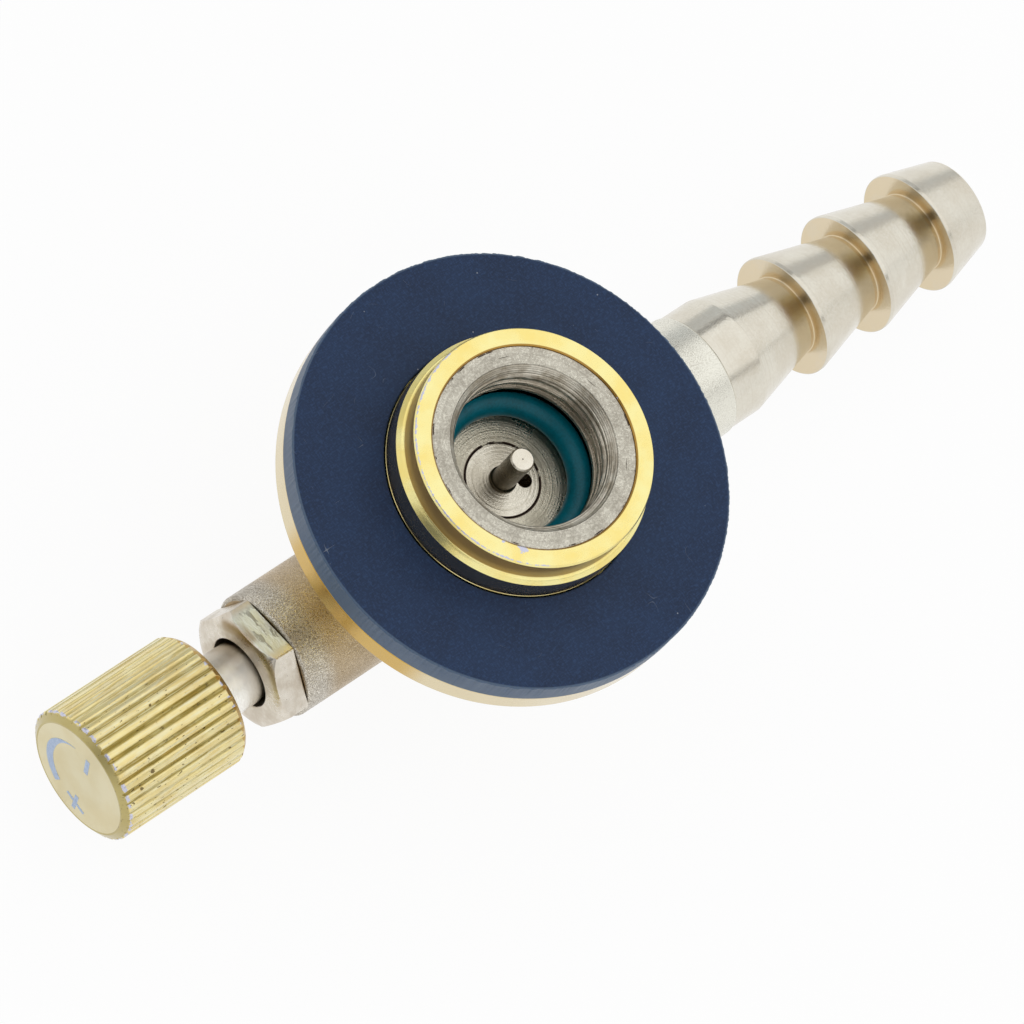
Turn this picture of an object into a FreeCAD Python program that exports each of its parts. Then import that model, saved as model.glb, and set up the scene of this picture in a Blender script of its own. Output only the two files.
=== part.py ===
import FreeCAD, Part
import math
import os

# Needle valve for a screw-on gas canister, with a flow knob and a ridged hose tail. Millimetres.
# The origin is on the inlet's axis, at the top face of the rubber pad.
# Z points out of the inlet's mouth and X towards the hose tail.
# The knob, the spindle, the gland nut, the barrel and the hose tail share one axis along X.

# Fits
running_gap = 0.05
rubber_gap = 0.02
washer_gap = 0.1
seat_gap = 0.02
fine_chamfer = 0.15
cut_past = 1.0

# Rubber pad and the anodised flange under it
pad_radius = 15.0
pad_thickness = 1.91
pad_hole_gap = 0.1
pad_overhang = 0.05
flange_thickness = 1.8
collar_radius = 8.65
collar_ledge_height = 2.26
collar_ledge_fall = 0.28
collar_step_width = 0.48
collar_height = 4.23
collar_root_fillet = 0.12
collar_rim_inset = 0.1
collar_rim_drop = 0.18

# Inlet boss with its 7/16-28 canister thread
boss_radius = 6.94
boss_recess = 0.12
thread_minor_radius = 5.16
thread_height = 0.396
mouth_flare = 0.184
thread_pitch = 0.907
thread_crest_share = 0.3
thread_depth = 3.7
seal_pocket_radius = 6.1
seal_pocket_height = 2.5

# Teal seal ring on the inlet's floor
inlet_ring_section_radius = 1.0

# Pin that opens the canister's valve, its holder and the filter under it
pin_radius = 0.82
pin_height = 3.95
pin_tip_chamfer = 0.1
pin_foot_radius = 0.95
pin_foot_height = 0.15
pin_foot_taper = 0.1
holder_radius = 2.59
holder_thickness = 2.0
holder_edge_chamfer = 0.05
holder_ledge_width = 0.39
gas_hole_radius = 0.52
gas_hole_offset_x = 1.29
gas_hole_offset_y = -0.8
filter_thickness = 1.0

# Forged body: a vertical hub and a barrel across it
barrel_drop = 13.1
barrel_radius = 4.5
barrel_edge_chamfer = 0.2
outlet_reach = 22.15
hub_shoulder_width = 0.46
hub_dome_height = 5.5
foot_inset = 2.2
foot_clearance = 0.2
forging_fillet = 1.0

# Gas way and valve seat
gas_channel_radius = 1.0
seat_wall = 0.6
orifice_radius = 0.7
orifice_length = 1.4
gas_bore_radius = 2.0

# Spindle, with the pitch of its thread and its turns from closed to open
spindle_pitch = 0.75
spindle_turns = 2.5
stem_radius = 2.25
knob_seat_step = 0.2
knob_seat_length = 6.8
spindle_thread_radius = 2.95
spindle_thread_length = 3.2
spindle_thread_chamfer = 0.35
thread_front_gap = 0.3
spindle_land_radius = 2.35
land_width = 0.5
land_setback = 0.3
groove_radius = 1.6
groove_width = 1.1
bore_margin = 0.15
needle_radius = 1.2
needle_cone_length = 1.35
needle_tip_radius = 0.3
needle_tip_length = 1.0

# Gland nut and the washer that it holds
gland_shoulder_width = 0.5
gland_thread_length = 3.4
gland_washer_thickness = 0.6
gland_bore_clearance = 0.3
stop_gap = 0.15
nut_across_flats = 8.0
nut_head_length = 2.05
nut_flat_length = 1.45
nut_face_inset = 0.1
nut_dome_middle_depth_share = 0.35
nut_dome_middle_radius_share = 0.62
nut_head_gap = 0.05
nut_turn_deg = 43.0

# Knob
knob_radius = 4.8
knob_length = 10.3
knob_face_inset = 0.58
knob_face_chamfer = 0.38
knob_rear_inset = 0.32
knob_rear_chamfer = 0.4
knob_flutes = 38
knob_flute_depth = 0.26
knob_land_share = 0.5
knob_root_share = 0.14
exposed_stem = 3.28

# Hose tail for an 8 mm hose
tail_thread_wall = 1.5
tail_thread_length = 6.65
tail_washer_thickness = 0.3
tail_seam_gap = 0.05
tail_base_radius = 4.38
tail_base_length = 2.68
tail_entry_length = 5.67
ridge_count = 3
ridge_radius = 4.46
ridge_neck_radius = 2.94
ridge_pitch = 6.02
ridge_land = 0.3
ridge_tip_length = 4.13

# Radii and places that follow from the sizes above
flange_radius = pad_radius - pad_overhang
collar_step_radius = collar_radius - collar_step_width
hub_radius = boss_radius + hub_shoulder_width
foot_radius = hub_radius - foot_inset
thread_major_radius = thread_minor_radius + thread_height
mouth_radius = thread_major_radius + mouth_flare
filter_radius = holder_radius - holder_ledge_width
seal_bore_radius = spindle_land_radius + running_gap
spindle_bore_radius = spindle_thread_radius + running_gap
gland_thread_radius = spindle_bore_radius + gland_shoulder_width
gland_bore_radius = stem_radius + gland_bore_clearance
nut_face_radius = nut_across_flats / 2 - nut_face_inset
knob_seat_radius = stem_radius - knob_seat_step
knob_face_radius = knob_radius - knob_face_inset
knob_rear_radius = knob_radius - knob_rear_inset
tail_thread_radius = gas_bore_radius + tail_thread_wall

spindle_lift = spindle_pitch * spindle_turns
flange_top_z = -pad_thickness
flange_under_z = flange_top_z - flange_thickness
boss_top_z = collar_height - boss_recess
thread_end_z = boss_top_z - thread_depth
inlet_floor_z = thread_end_z - seal_pocket_height
holder_under_z = inlet_floor_z - holder_thickness
filter_under_z = holder_under_z - filter_thickness
barrel_z = -barrel_drop
foot_z = barrel_z - max(barrel_radius, knob_radius) - foot_clearance

seat_x = gas_channel_radius + seat_wall
orifice_end_x = seat_x + orifice_length
land_front_x = -gas_channel_radius - land_setback
groove_front_x = [land_front_x - land_width - i * (groove_width + land_width) for i in range(2)]
land_rear_x = groove_front_x[-1] - groove_width
seal_bore_end_x = land_rear_x - spindle_lift - bore_margin
spindle_thread_front_x = seal_bore_end_x - thread_front_gap
spindle_thread_rear_x = spindle_thread_front_x - spindle_thread_length
gland_washer_front_x = spindle_thread_rear_x - spindle_lift - stop_gap
gland_washer_rear_x = gland_washer_front_x - gland_washer_thickness
barrel_knob_end_x = gland_washer_rear_x - gland_thread_length
nut_back_x = barrel_knob_end_x - nut_head_gap
nut_front_x = nut_back_x - nut_head_length
knob_rear_x = nut_front_x - exposed_stem
knob_face_x = knob_rear_x - knob_length
knob_seat_end_x = knob_rear_x - knob_seat_length

tail_thread_end_x = outlet_reach - tail_thread_length
tail_washer_end_x = tail_thread_end_x - tail_washer_thickness
tail_shoulder_x = outlet_reach + tail_seam_gap
first_ridge_x = tail_shoulder_x + tail_base_length + tail_entry_length
last_ridge_x = first_ridge_x + (ridge_count - 1) * ridge_pitch
tail_tip_x = last_ridge_x + ridge_tip_length

z_axis = FreeCAD.Vector(0, 0, 1)
x_axis = FreeCAD.Vector(1, 0, 0)
barrel_centre = FreeCAD.Vector(0, 0, barrel_z)


def turned(points, along_x):
    """A solid turned from (place along the axis, radius) points about the barrel's or the inlet's axis.

    A point written as (place, radius, place, radius) is an arc: its middle, then its end.
    """
    def spot(place, radius):
        if along_x:
            return FreeCAD.Vector(place, 0, barrel_z + radius)
        return FreeCAD.Vector(radius, 0, place)

    edges = []
    here = spot(*points[0])
    for point in points[1:] + [points[0]]:
        there = spot(*point[-2:])
        if len(point) == 4:
            edges.append(Part.Arc(here, spot(*point[:2]), there).toShape())
        elif there.distanceToPoint(here) > 1e-9:
            edges.append(Part.LineSegment(here, there).toShape())
        here = there
    face = Part.Face(Part.Wire(edges))
    if along_x:
        return face.revolve(barrel_centre, x_axis, 360)
    return face.revolve(FreeCAD.Vector(0, 0, 0), z_axis, 360)


def cylinder_x(radius, start_x, end_x):
    """A cylinder on the barrel's axis between two places."""
    start = FreeCAD.Vector(min(start_x, end_x), 0, barrel_z)
    return Part.makeCylinder(radius, abs(end_x - start_x), start, x_axis)


def cylinder_z(radius, low_z, high_z, x=0.0, y=0.0):
    """An upright cylinder between two heights."""
    return Part.makeCylinder(radius, high_z - low_z, FreeCAD.Vector(x, y, low_z), z_axis)


def washer_x(outer_radius, inner_radius, start_x, end_x):
    """A flat ring on the barrel's axis."""
    return cylinder_x(outer_radius, start_x, end_x).cut(cylinder_x(inner_radius, start_x, end_x))


def seal_ring(centre, axis, ring_radius, section_radius):
    """A round-section seal ring."""
    return Part.makeTorus(ring_radius, section_radius, centre, axis)


def polygon_x(corners, start_x, end_x):
    """A prism along X from (angle in degrees, radius) corners about the barrel's axis."""
    ring = []
    for angle, radius in corners:
        y = radius * math.cos(math.radians(angle))
        z = barrel_z + radius * math.sin(math.radians(angle))
        ring.append(FreeCAD.Vector(min(start_x, end_x), y, z))
    face = Part.Face(Part.makePolygon(ring + ring[:1]))
    return face.extrude(FreeCAD.Vector(abs(end_x - start_x), 0, 0))


def save(name, shape):
    """Write one piece as parts/NAME.step."""
    shape.exportStep(os.path.join("parts", name + ".step"))


def inlet_cavity():
    """The inlet's space: mouth chamfer, thread rings, seal pocket and the bores for holder and filter."""
    mouth_end_z = boss_top_z - (mouth_radius - thread_minor_radius)
    profile = [(boss_top_z + cut_past, 0), (boss_top_z + cut_past, mouth_radius)]
    profile.append((boss_top_z, mouth_radius))
    profile.append((mouth_end_z, thread_minor_radius))
    crest = thread_crest_share * thread_pitch
    flank = (thread_pitch - crest) / 2
    place = mouth_end_z - crest / 2
    while place - thread_pitch > thread_end_z:
        profile.append((place, thread_minor_radius))
        profile.append((place - flank, thread_major_radius))
        profile.append((place - 2 * flank, thread_minor_radius))
        place -= thread_pitch
    profile += [(thread_end_z, thread_minor_radius), (thread_end_z, seal_pocket_radius)]
    profile += [(inlet_floor_z, seal_pocket_radius), (inlet_floor_z, holder_radius)]
    profile += [(holder_under_z, holder_radius), (holder_under_z, filter_radius)]
    profile += [(filter_under_z, filter_radius), (filter_under_z, gas_channel_radius)]
    profile += [(barrel_z, gas_channel_radius), (barrel_z, 0)]
    return turned(profile, False)


def barrel_bores():
    """The bores along the barrel, from the gland's thread to the hose tail's."""
    profile = [(barrel_knob_end_x - cut_past, 0), (barrel_knob_end_x - cut_past, gland_thread_radius)]
    profile += [(gland_washer_front_x, gland_thread_radius), (gland_washer_front_x, spindle_bore_radius)]
    profile += [(seal_bore_end_x, spindle_bore_radius), (seal_bore_end_x, seal_bore_radius)]
    profile += [(seat_x, seal_bore_radius), (seat_x, orifice_radius)]
    profile += [(orifice_end_x, orifice_radius), (orifice_end_x, gas_bore_radius)]
    profile += [(tail_washer_end_x, gas_bore_radius), (tail_washer_end_x, tail_thread_radius)]
    profile += [(outlet_reach + cut_past, tail_thread_radius), (outlet_reach + cut_past, 0)]
    return turned(profile, True)


def hub():
    """The upright part: a boss for the inlet, a drum, and a dome down to the flat foot."""
    inset = hub_radius - foot_radius
    dome_radius = (inset**2 + hub_dome_height**2) / (2 * inset)
    sweep = math.asin(hub_dome_height / dome_radius)
    dome_top_z = foot_z + hub_dome_height
    middle_radius = hub_radius - dome_radius * (1 - math.cos(sweep / 2))
    middle_z = dome_top_z - dome_radius * math.sin(sweep / 2)
    profile = [(boss_top_z, 0), (boss_top_z, boss_radius), (flange_under_z, boss_radius)]
    profile += [(flange_under_z, hub_radius), (dome_top_z, hub_radius)]
    profile += [(middle_z, middle_radius, foot_z, foot_radius), (foot_z, 0)]
    return turned(profile, False)


def barrel():
    """The drum across the hub, with its two end edges broken."""
    edge = barrel_edge_chamfer
    profile = [(barrel_knob_end_x, 0), (barrel_knob_end_x, barrel_radius - edge)]
    profile += [(barrel_knob_end_x + edge, barrel_radius), (outlet_reach - edge, barrel_radius)]
    profile += [(outlet_reach, barrel_radius - edge), (outlet_reach, 0)]
    return turned(profile, True)


def blended(shape):
    """Round the corners where the barrel runs into the hub."""
    corners = []
    for edge in shape.Edges:
        box = edge.BoundBox
        beside = barrel_radius < abs(box.Center.x) < hub_radius + forging_fillet
        if beside and box.YLength > barrel_radius and box.ZLength > barrel_radius:
            corners.append(edge)
    return shape.makeFillet(forging_fillet, corners)


def valve_body():
    """The forged brass body with every bore cut in it."""
    solid = blended(hub().fuse(barrel()).removeSplitter())
    return solid.cut(inlet_cavity()).cut(barrel_bores())


def flange_collar():
    """The anodised flange and the stepped collar with its sloped ledge, turned in one piece and pressed on."""
    edge = fine_chamfer
    fillet = collar_root_fillet
    bend = fillet * (1 - math.sqrt(0.5))
    profile = [(flange_under_z, boss_radius), (flange_under_z, flange_radius - edge)]
    profile += [(flange_under_z + edge, flange_radius), (flange_top_z - edge, flange_radius)]
    profile += [(flange_top_z, flange_radius - edge), (flange_top_z, collar_radius)]
    profile += [(collar_ledge_height - collar_ledge_fall, collar_radius)]
    profile += [(collar_ledge_height, collar_step_radius + fillet)]
    profile += [(collar_ledge_height + bend, collar_step_radius + bend,
                 collar_ledge_height + fillet, collar_step_radius)]
    profile += [(collar_height - collar_rim_drop, collar_step_radius)]
    profile += [(collar_height, collar_step_radius - collar_rim_inset)]
    profile += [(collar_height, boss_radius)]
    return turned(profile, False)


def rubber_pad():
    """The soft ring that the canister's rim presses on."""
    hole = collar_radius + pad_hole_gap
    return cylinder_z(pad_radius, flange_top_z, 0).cut(cylinder_z(hole, flange_top_z, 0))


def inlet_o_ring():
    """The teal ring that seals on the canister's valve, lying on the inlet's floor."""
    ring_radius = seal_pocket_radius - rubber_gap - inlet_ring_section_radius
    height = inlet_floor_z + rubber_gap + inlet_ring_section_radius
    return seal_ring(FreeCAD.Vector(0, 0, height), z_axis, ring_radius, inlet_ring_section_radius)


def pin_holder():
    """The insert in the inlet's floor, with the pin's hole and the gas hole."""
    edge = holder_edge_chamfer
    profile = [(holder_under_z, pin_radius), (holder_under_z, holder_radius)]
    profile += [(inlet_floor_z - edge, holder_radius), (inlet_floor_z, holder_radius - edge)]
    profile += [(inlet_floor_z, pin_radius)]
    disc = turned(profile, False)
    return disc.cut(cylinder_z(gas_hole_radius, holder_under_z, inlet_floor_z,
                               gas_hole_offset_x, gas_hole_offset_y))


def depressor_pin():
    """The pin, pressed in the holder up to its foot."""
    foot_top_z = inlet_floor_z + pin_foot_height
    tip_z = inlet_floor_z + pin_height
    profile = [(holder_under_z, 0), (holder_under_z, pin_radius), (inlet_floor_z, pin_radius)]
    profile += [(inlet_floor_z, pin_foot_radius), (foot_top_z, pin_foot_radius)]
    profile += [(foot_top_z + pin_foot_taper, pin_radius), (tip_z - pin_tip_chamfer, pin_radius)]
    profile += [(tip_z, pin_radius - pin_tip_chamfer), (tip_z, 0)]
    return turned(profile, False)


def inlet_filter():
    """The sintered disc under the holder."""
    return cylinder_z(filter_radius, filter_under_z, holder_under_z)


def spindle():
    """The needle spindle, shown closed: knob seat, stem, thread, sealing lands, needle and tip."""
    bevel = spindle_thread_chamfer
    neck_x = seat_x - needle_cone_length
    profile = [(knob_seat_end_x, 0), (knob_seat_end_x, knob_seat_radius - fine_chamfer)]
    profile += [(knob_seat_end_x + fine_chamfer, knob_seat_radius), (knob_rear_x, knob_seat_radius)]
    profile += [(knob_rear_x, stem_radius), (spindle_thread_rear_x, stem_radius)]
    profile += [(spindle_thread_rear_x, spindle_thread_radius - bevel)]
    profile += [(spindle_thread_rear_x + bevel, spindle_thread_radius)]
    profile += [(spindle_thread_front_x - bevel, spindle_thread_radius)]
    profile += [(spindle_thread_front_x, spindle_thread_radius - bevel)]
    profile += [(spindle_thread_front_x, spindle_land_radius)]
    for front_x in reversed(groove_front_x):
        profile += [(front_x - groove_width, spindle_land_radius), (front_x - groove_width, groove_radius)]
        profile += [(front_x, groove_radius), (front_x, spindle_land_radius)]
    profile += [(land_front_x, spindle_land_radius), (land_front_x, needle_radius)]
    profile += [(neck_x, needle_radius), (seat_x, orifice_radius - seat_gap)]
    profile += [(seat_x + needle_tip_length, needle_tip_radius), (seat_x + needle_tip_length, 0)]
    return turned(profile, True)


def spindle_o_ring(front_x):
    """One of the two rings that seal the spindle in its smooth bore."""
    section = (seal_bore_radius - groove_radius) / 2 - rubber_gap
    middle = FreeCAD.Vector(front_x - groove_width / 2, 0, barrel_z)
    return seal_ring(middle, x_axis, (seal_bore_radius + groove_radius) / 2, section)


def gland_washer():
    """The washer that stops the spindle's thread at the open end."""
    return washer_x(gland_thread_radius - washer_gap, stem_radius + washer_gap,
                    gland_washer_rear_x, gland_washer_front_x)


def gland_nut():
    """The hexagon nut in the barrel's end, its face flat and its corners rounded off."""
    corner_radius = nut_across_flats / 2 / math.cos(math.radians(30))
    corners = [(nut_turn_deg + 60 * i, corner_radius) for i in range(6)]
    prism = polygon_x(corners, nut_front_x, nut_back_x)
    dome_x = nut_back_x - nut_flat_length
    middle_x = nut_front_x + (dome_x - nut_front_x) * nut_dome_middle_depth_share
    middle_radius = nut_face_radius + (corner_radius - nut_face_radius) * nut_dome_middle_radius_share
    profile = [(nut_front_x, 0), (nut_front_x, nut_face_radius)]
    profile += [(middle_x, middle_radius, dome_x, corner_radius + fine_chamfer)]
    profile += [(nut_back_x, corner_radius + fine_chamfer), (nut_back_x, 0)]
    head = prism.common(turned(profile, True))
    shank = cylinder_x(gland_thread_radius, gland_washer_rear_x, nut_back_x)
    bore = cylinder_x(gland_bore_radius, nut_front_x - cut_past, gland_washer_rear_x + cut_past)
    return head.fuse(shank).cut(bore).removeSplitter()


def knob():
    """The fluted knob, with both ends turned to a chamfer and a blind hole for the spindle's end."""
    step = 360.0 / knob_flutes
    root_radius = knob_radius - knob_flute_depth
    corners = []
    for i in range(knob_flutes):
        middle = i * step
        half_land = step * knob_land_share / 2
        half_root = step * knob_root_share / 2
        corners.append((middle - half_land, knob_radius))
        corners.append((middle + half_land, knob_radius))
        corners.append((middle + step / 2 - half_root, root_radius))
        corners.append((middle + step / 2 + half_root, root_radius))
    fluted = polygon_x(corners, knob_face_x, knob_rear_x)
    past_radius = knob_radius + running_gap
    front_slope = knob_face_chamfer / knob_face_inset
    rear_slope = knob_rear_chamfer / knob_rear_inset
    profile = [(knob_face_x, 0), (knob_face_x, knob_face_radius)]
    profile += [(knob_face_x + front_slope * (past_radius - knob_face_radius), past_radius)]
    profile += [(knob_rear_x - rear_slope * (past_radius - knob_rear_radius), past_radius)]
    profile += [(knob_rear_x, knob_rear_radius), (knob_rear_x, 0)]
    seat_hole = cylinder_x(knob_seat_radius, knob_seat_end_x, knob_rear_x)
    return fluted.common(turned(profile, True)).cut(seat_hole)


def hose_tail():
    """The screwed-in hose tail: thread, base, a long entry cone and the ridges."""
    slope = (ridge_radius - ridge_neck_radius) / (ridge_pitch - ridge_land)
    tip_radius = ridge_radius - slope * (ridge_tip_length - ridge_land)
    base_end_x = tail_shoulder_x + tail_base_length
    profile = [(tail_thread_end_x, gas_bore_radius), (tail_thread_end_x, tail_thread_radius)]
    profile += [(tail_shoulder_x, tail_thread_radius), (tail_shoulder_x, tail_base_radius)]
    profile += [(base_end_x, tail_base_radius), (first_ridge_x, ridge_neck_radius)]
    for i in range(ridge_count):
        ridge_x = first_ridge_x + i * ridge_pitch
        profile += [(ridge_x, ridge_radius), (ridge_x + ridge_land, ridge_radius)]
        if i < ridge_count - 1:
            profile += [(ridge_x + ridge_pitch, ridge_neck_radius)]
    profile += [(tail_tip_x - fine_chamfer, tip_radius), (tail_tip_x, tip_radius - fine_chamfer)]
    profile += [(tail_tip_x, gas_bore_radius)]
    return turned(profile, True)


def tail_washer():
    """The flat seal at the inner end of the hose tail's thread."""
    return washer_x(tail_thread_radius - washer_gap, gas_bore_radius + washer_gap,
                    tail_washer_end_x, tail_thread_end_x)


def main():
    """Build and save every piece."""
    os.makedirs("parts", exist_ok=True)
    pieces = {
        "valve_body": valve_body(),
        "flange_collar": flange_collar(),
        "rubber_pad": rubber_pad(),
        "inlet_o_ring": inlet_o_ring(),
        "pin_holder": pin_holder(),
        "depressor_pin": depressor_pin(),
        "inlet_filter": inlet_filter(),
        "spindle": spindle(),
        "spindle_o_ring_front": spindle_o_ring(groove_front_x[0]),
        "spindle_o_ring_rear": spindle_o_ring(groove_front_x[1]),
        "gland_washer": gland_washer(),
        "gland_nut": gland_nut(),
        "knob": knob(),
        "hose_tail": hose_tail(),
        "tail_washer": tail_washer(),
    }
    for name, shape in pieces.items():
        save(name, shape)
        print(name, "volume", round(shape.Volume, 2), "solids", len(shape.Solids), "valid", shape.isValid())


main()
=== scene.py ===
"""Looks of a screw-on gas canister valve: forged body, gold collar, rubber pad, fluted knob and ridged hose tail.

The classes hold their sizes in millimetres. Meshes are made in metres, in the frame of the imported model:
Z points out of the inlet, and X runs along the barrel from the knob towards the hose tail.
"""

import logging
import math
from dataclasses import dataclass
from enum import Enum

import bmesh
import bpy
import numpy as np
from mathutils import Matrix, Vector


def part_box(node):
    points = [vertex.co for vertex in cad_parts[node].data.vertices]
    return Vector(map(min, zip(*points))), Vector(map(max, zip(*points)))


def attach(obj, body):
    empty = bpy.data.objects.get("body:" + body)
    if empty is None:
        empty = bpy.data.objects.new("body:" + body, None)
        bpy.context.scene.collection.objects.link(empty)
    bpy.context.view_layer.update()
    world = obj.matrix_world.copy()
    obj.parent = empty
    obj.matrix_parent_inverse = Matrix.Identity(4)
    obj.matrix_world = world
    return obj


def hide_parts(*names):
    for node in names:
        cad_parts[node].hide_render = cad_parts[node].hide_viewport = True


MM = 0.001
WELD_M = 2e-7
SMOOTH_UP_TO_DEG = 38.0
ARC_SHARE_OF_SIDE = 0.45
SHOULDER_MM, SHOULDER_SHARE = 0.03, 0.04
TINY = 1e-9
CLOUDY = (0.3, 0.7)
Span = tuple[float, float]
Point = Colour = Corner = tuple[float, float, float]
Socket = bpy.types.NodeSocket
Material = bpy.types.Material

log = logging.getLogger("canister_valve")
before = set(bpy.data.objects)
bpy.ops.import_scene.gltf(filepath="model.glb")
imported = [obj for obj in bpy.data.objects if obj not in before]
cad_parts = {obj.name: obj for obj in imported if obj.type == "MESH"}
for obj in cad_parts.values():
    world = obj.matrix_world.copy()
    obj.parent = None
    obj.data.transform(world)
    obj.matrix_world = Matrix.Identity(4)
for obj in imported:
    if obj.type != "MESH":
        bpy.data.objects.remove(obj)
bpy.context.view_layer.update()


class Body(Enum):
    """The moving groups that a piece can ride on."""

    FIXED = "body"
    SPINDLE = "spindle_and_knob"


class Slot(Enum):
    """The record's finishes."""

    FORGED_BRASS = "forged_brass"
    TURNED_BRASS = "turned_brass"
    NUT_BRASS = "nut_brass"
    TAIL_BRASS = "tail_brass"
    GOLD = "gold_anodised"
    NAVY_RUBBER = "navy_rubber"
    TEAL_RUBBER = "teal_rubber"


@dataclass(frozen=True)
class Reach:
    """The room that a CAD node takes, in millimetres: along X, round its axis and along Z."""

    left: float
    right: float
    radius: float
    bottom: float
    top: float

    @classmethod
    def of(cls, node: str) -> "Reach":
        """Read a node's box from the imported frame; half its width across Y is the radius of a turned part."""
        low, high = ((np.array(corner) / MM).tolist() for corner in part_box(node))
        return cls(low[0], high[0], (high[1] - low[1]) / 2, low[2], high[2])


@dataclass(frozen=True)
class Line:
    """A straight axis with the two directions square to it from which its angles are counted."""

    origin: Point
    along: Point
    side: Point
    across: Point

    def carry(self, outline: np.ndarray, angles: np.ndarray) -> np.ndarray:
        """Carry an outline round the axis.

        Each point is origin + place * along + radius * (cos(angle) * side + sin(angle) * across).

        Args:
            outline: (place, radius) rows, or one such outline for each column.
            angles: the columns' angles in radians.

        Returns:
            Points in rows and columns, in millimetres.
        """
        outline = outline if outline.ndim == 3 else outline[:, None, :]
        spokes = np.outer(np.cos(angles), self.side) + np.outer(np.sin(angles), self.across)
        return np.array(self.origin) + outline[..., :1] * np.array(self.along) + outline[..., 1:] * spokes

    def spot(self, place: float, radius: float, angle_deg: float) -> Point:
        """One point at a place, radius and angle."""
        return tuple(self.carry(np.array([[place, radius]]), np.radians([angle_deg]))[0, 0].tolist())


VALVE, FLANGE, PAD, HOLDER, SPINDLE, KNOB = (Reach.of(node) for node in (
    "valve_body", "flange_collar", "rubber_pad", "pin_holder", "spindle", "knob"))
BARREL_HEIGHT = (SPINDLE.bottom + SPINDLE.top) / 2
INLET = Line((0.0, 0.0, 0.0), (0.0, 0.0, 1.0), (1.0, 0.0, 0.0), (0.0, 1.0, 0.0))
BARREL = Line((0.0, 0.0, BARREL_HEIGHT), (1.0, 0.0, 0.0), (0.0, 1.0, 0.0), (0.0, 0.0, 1.0))


def full_turn(columns: int) -> np.ndarray:
    """Angles of one turn, evenly spaced, with the last one short of the first."""
    return np.linspace(0.0, 2 * math.pi, columns, endpoint=False)


def ramp(low: float, high: float, value: np.ndarray) -> np.ndarray:
    """The smooth step 3t^2 - 2t^3 between two edges."""
    share = np.clip((value - low) / (high - low), 0.0, 1.0)
    return share * share * (3.0 - 2.0 * share)


def swing(first: np.ndarray, final: np.ndarray, angle: np.ndarray, count: int) -> np.ndarray:
    """Turn vectors along their arcs: (sin((1 - share) * angle) * first + sin(share * angle) * final) / sin(angle).

    Args:
        first: the vectors at the start.
        final: the vectors at the end.
        angle: the angles between them.
        count: how many shares of the way to give, from 0 to 1.

    Returns:
        The turned vectors, with the shares on a new first axis.
    """
    share = np.linspace(0.0, 1.0, count).reshape(-1, *(1,) * first.ndim)
    return (np.sin((1 - share) * angle) * first + np.sin(share * angle) * final) / np.sin(angle)


def softened(corners: np.ndarray, radii: list[float] | np.ndarray, loop: bool = False, steps: int = 5) -> np.ndarray:
    """Round the corners of an outline.

    A corner's arc touches both of its sides. Its points are the centre plus the two vectors from the centre to the
    points of touch, swung into each other. A short stretch of each side is kept beside the arc, so that smooth
    shading stays on the round.

    Args:
        corners: (place, radius) rows, or one such outline for each column.
        radii: one rounding radius for each corner.
        loop: whether the outline closes on itself; the ends of an open one stay sharp.
        steps: facets in each arc.

    Returns:
        The rounded outline, shaped like corners with more rows.
    """
    flat = corners.ndim == 2
    corners = corners[:, None, :] if flat else corners
    rounding = np.array(radii, float)[:, None, None]
    keep = np.ones_like(rounding)
    if not loop:
        keep[[0, -1]] = 0.0
    sides = [np.roll(corners, shift, 0) - corners for shift in (1, -1)]
    lengths = [np.maximum(np.linalg.norm(side, axis=2, keepdims=True), TINY) for side in sides]
    ways = [side / length for side, length in zip(sides, lengths)]
    turn = math.pi - np.arccos(np.clip((ways[0] * ways[1]).sum(2, keepdims=True), -1.0, 1.0))
    turn = np.maximum(turn, 1e-4)
    touch = np.minimum(rounding * np.tan(turn / 2), ARC_SHARE_OF_SIDE * np.minimum(*lengths)) * keep
    halfway = ways[0] + ways[1]
    halfway /= np.maximum(np.linalg.norm(halfway, axis=2, keepdims=True), TINY)
    centre = corners + halfway * touch / np.tan(turn / 2) / np.cos(turn / 2)
    arc = centre + swing(*(corners + way * touch - centre for way in ways), turn, steps + 1)
    before, after = (corners + way * (touch + np.minimum(SHOULDER_MM, SHOULDER_SHARE * length) * keep)
                     for way, length in zip(ways, lengths))
    outline = np.stack([before, *arc, after], axis=1).reshape(-1, corners.shape[1], 2)
    return outline[:, 0, :] if flat else outline


def rounded(corners: list[Corner], loop: bool = False) -> np.ndarray:
    """The softened outline of (place, radius, rounding) corners."""
    table = np.array(corners)
    return softened(table[:, :2], table[:, 2], loop)


def rows(columns: int, *pairs: tuple[float | np.ndarray, float | np.ndarray]) -> np.ndarray:
    """An outline for each column, from (place, radius) pairs whose values can differ from column to column."""
    return np.array([[np.broadcast_to(value, columns) for value in pair] for pair in pairs]).transpose(0, 2, 1)


def wander(count: int, waves: int, seed: int) -> np.ndarray:
    """A closed random curve between about -1 and 1: random numbers at even spots, joined by smooth steps.

    Args:
        count: how many points to give.
        waves: how many random numbers lie round the curve.
        seed: what the numbers are drawn from.

    Returns:
        The curve's values.
    """
    knots = np.random.default_rng(seed).uniform(-1.0, 1.0, waves)
    spot = np.arange(count) * waves / count
    left = np.floor(spot).astype(int)
    return knots[left % waves] + (knots[(left + 1) % waves] - knots[left % waves]) * ramp(0.0, 1.0, spot - left)


def put(name: str, data: bpy.types.ID) -> bpy.types.Object:
    """Put a new object that shows the data into the scene."""
    made = bpy.data.objects.new(name, data)
    bpy.context.scene.collection.objects.link(made)
    return made


class Finish:
    """A look that can be made into a material."""

    def make(self) -> Material:
        """The look as a material."""
        raise NotImplementedError


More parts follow.
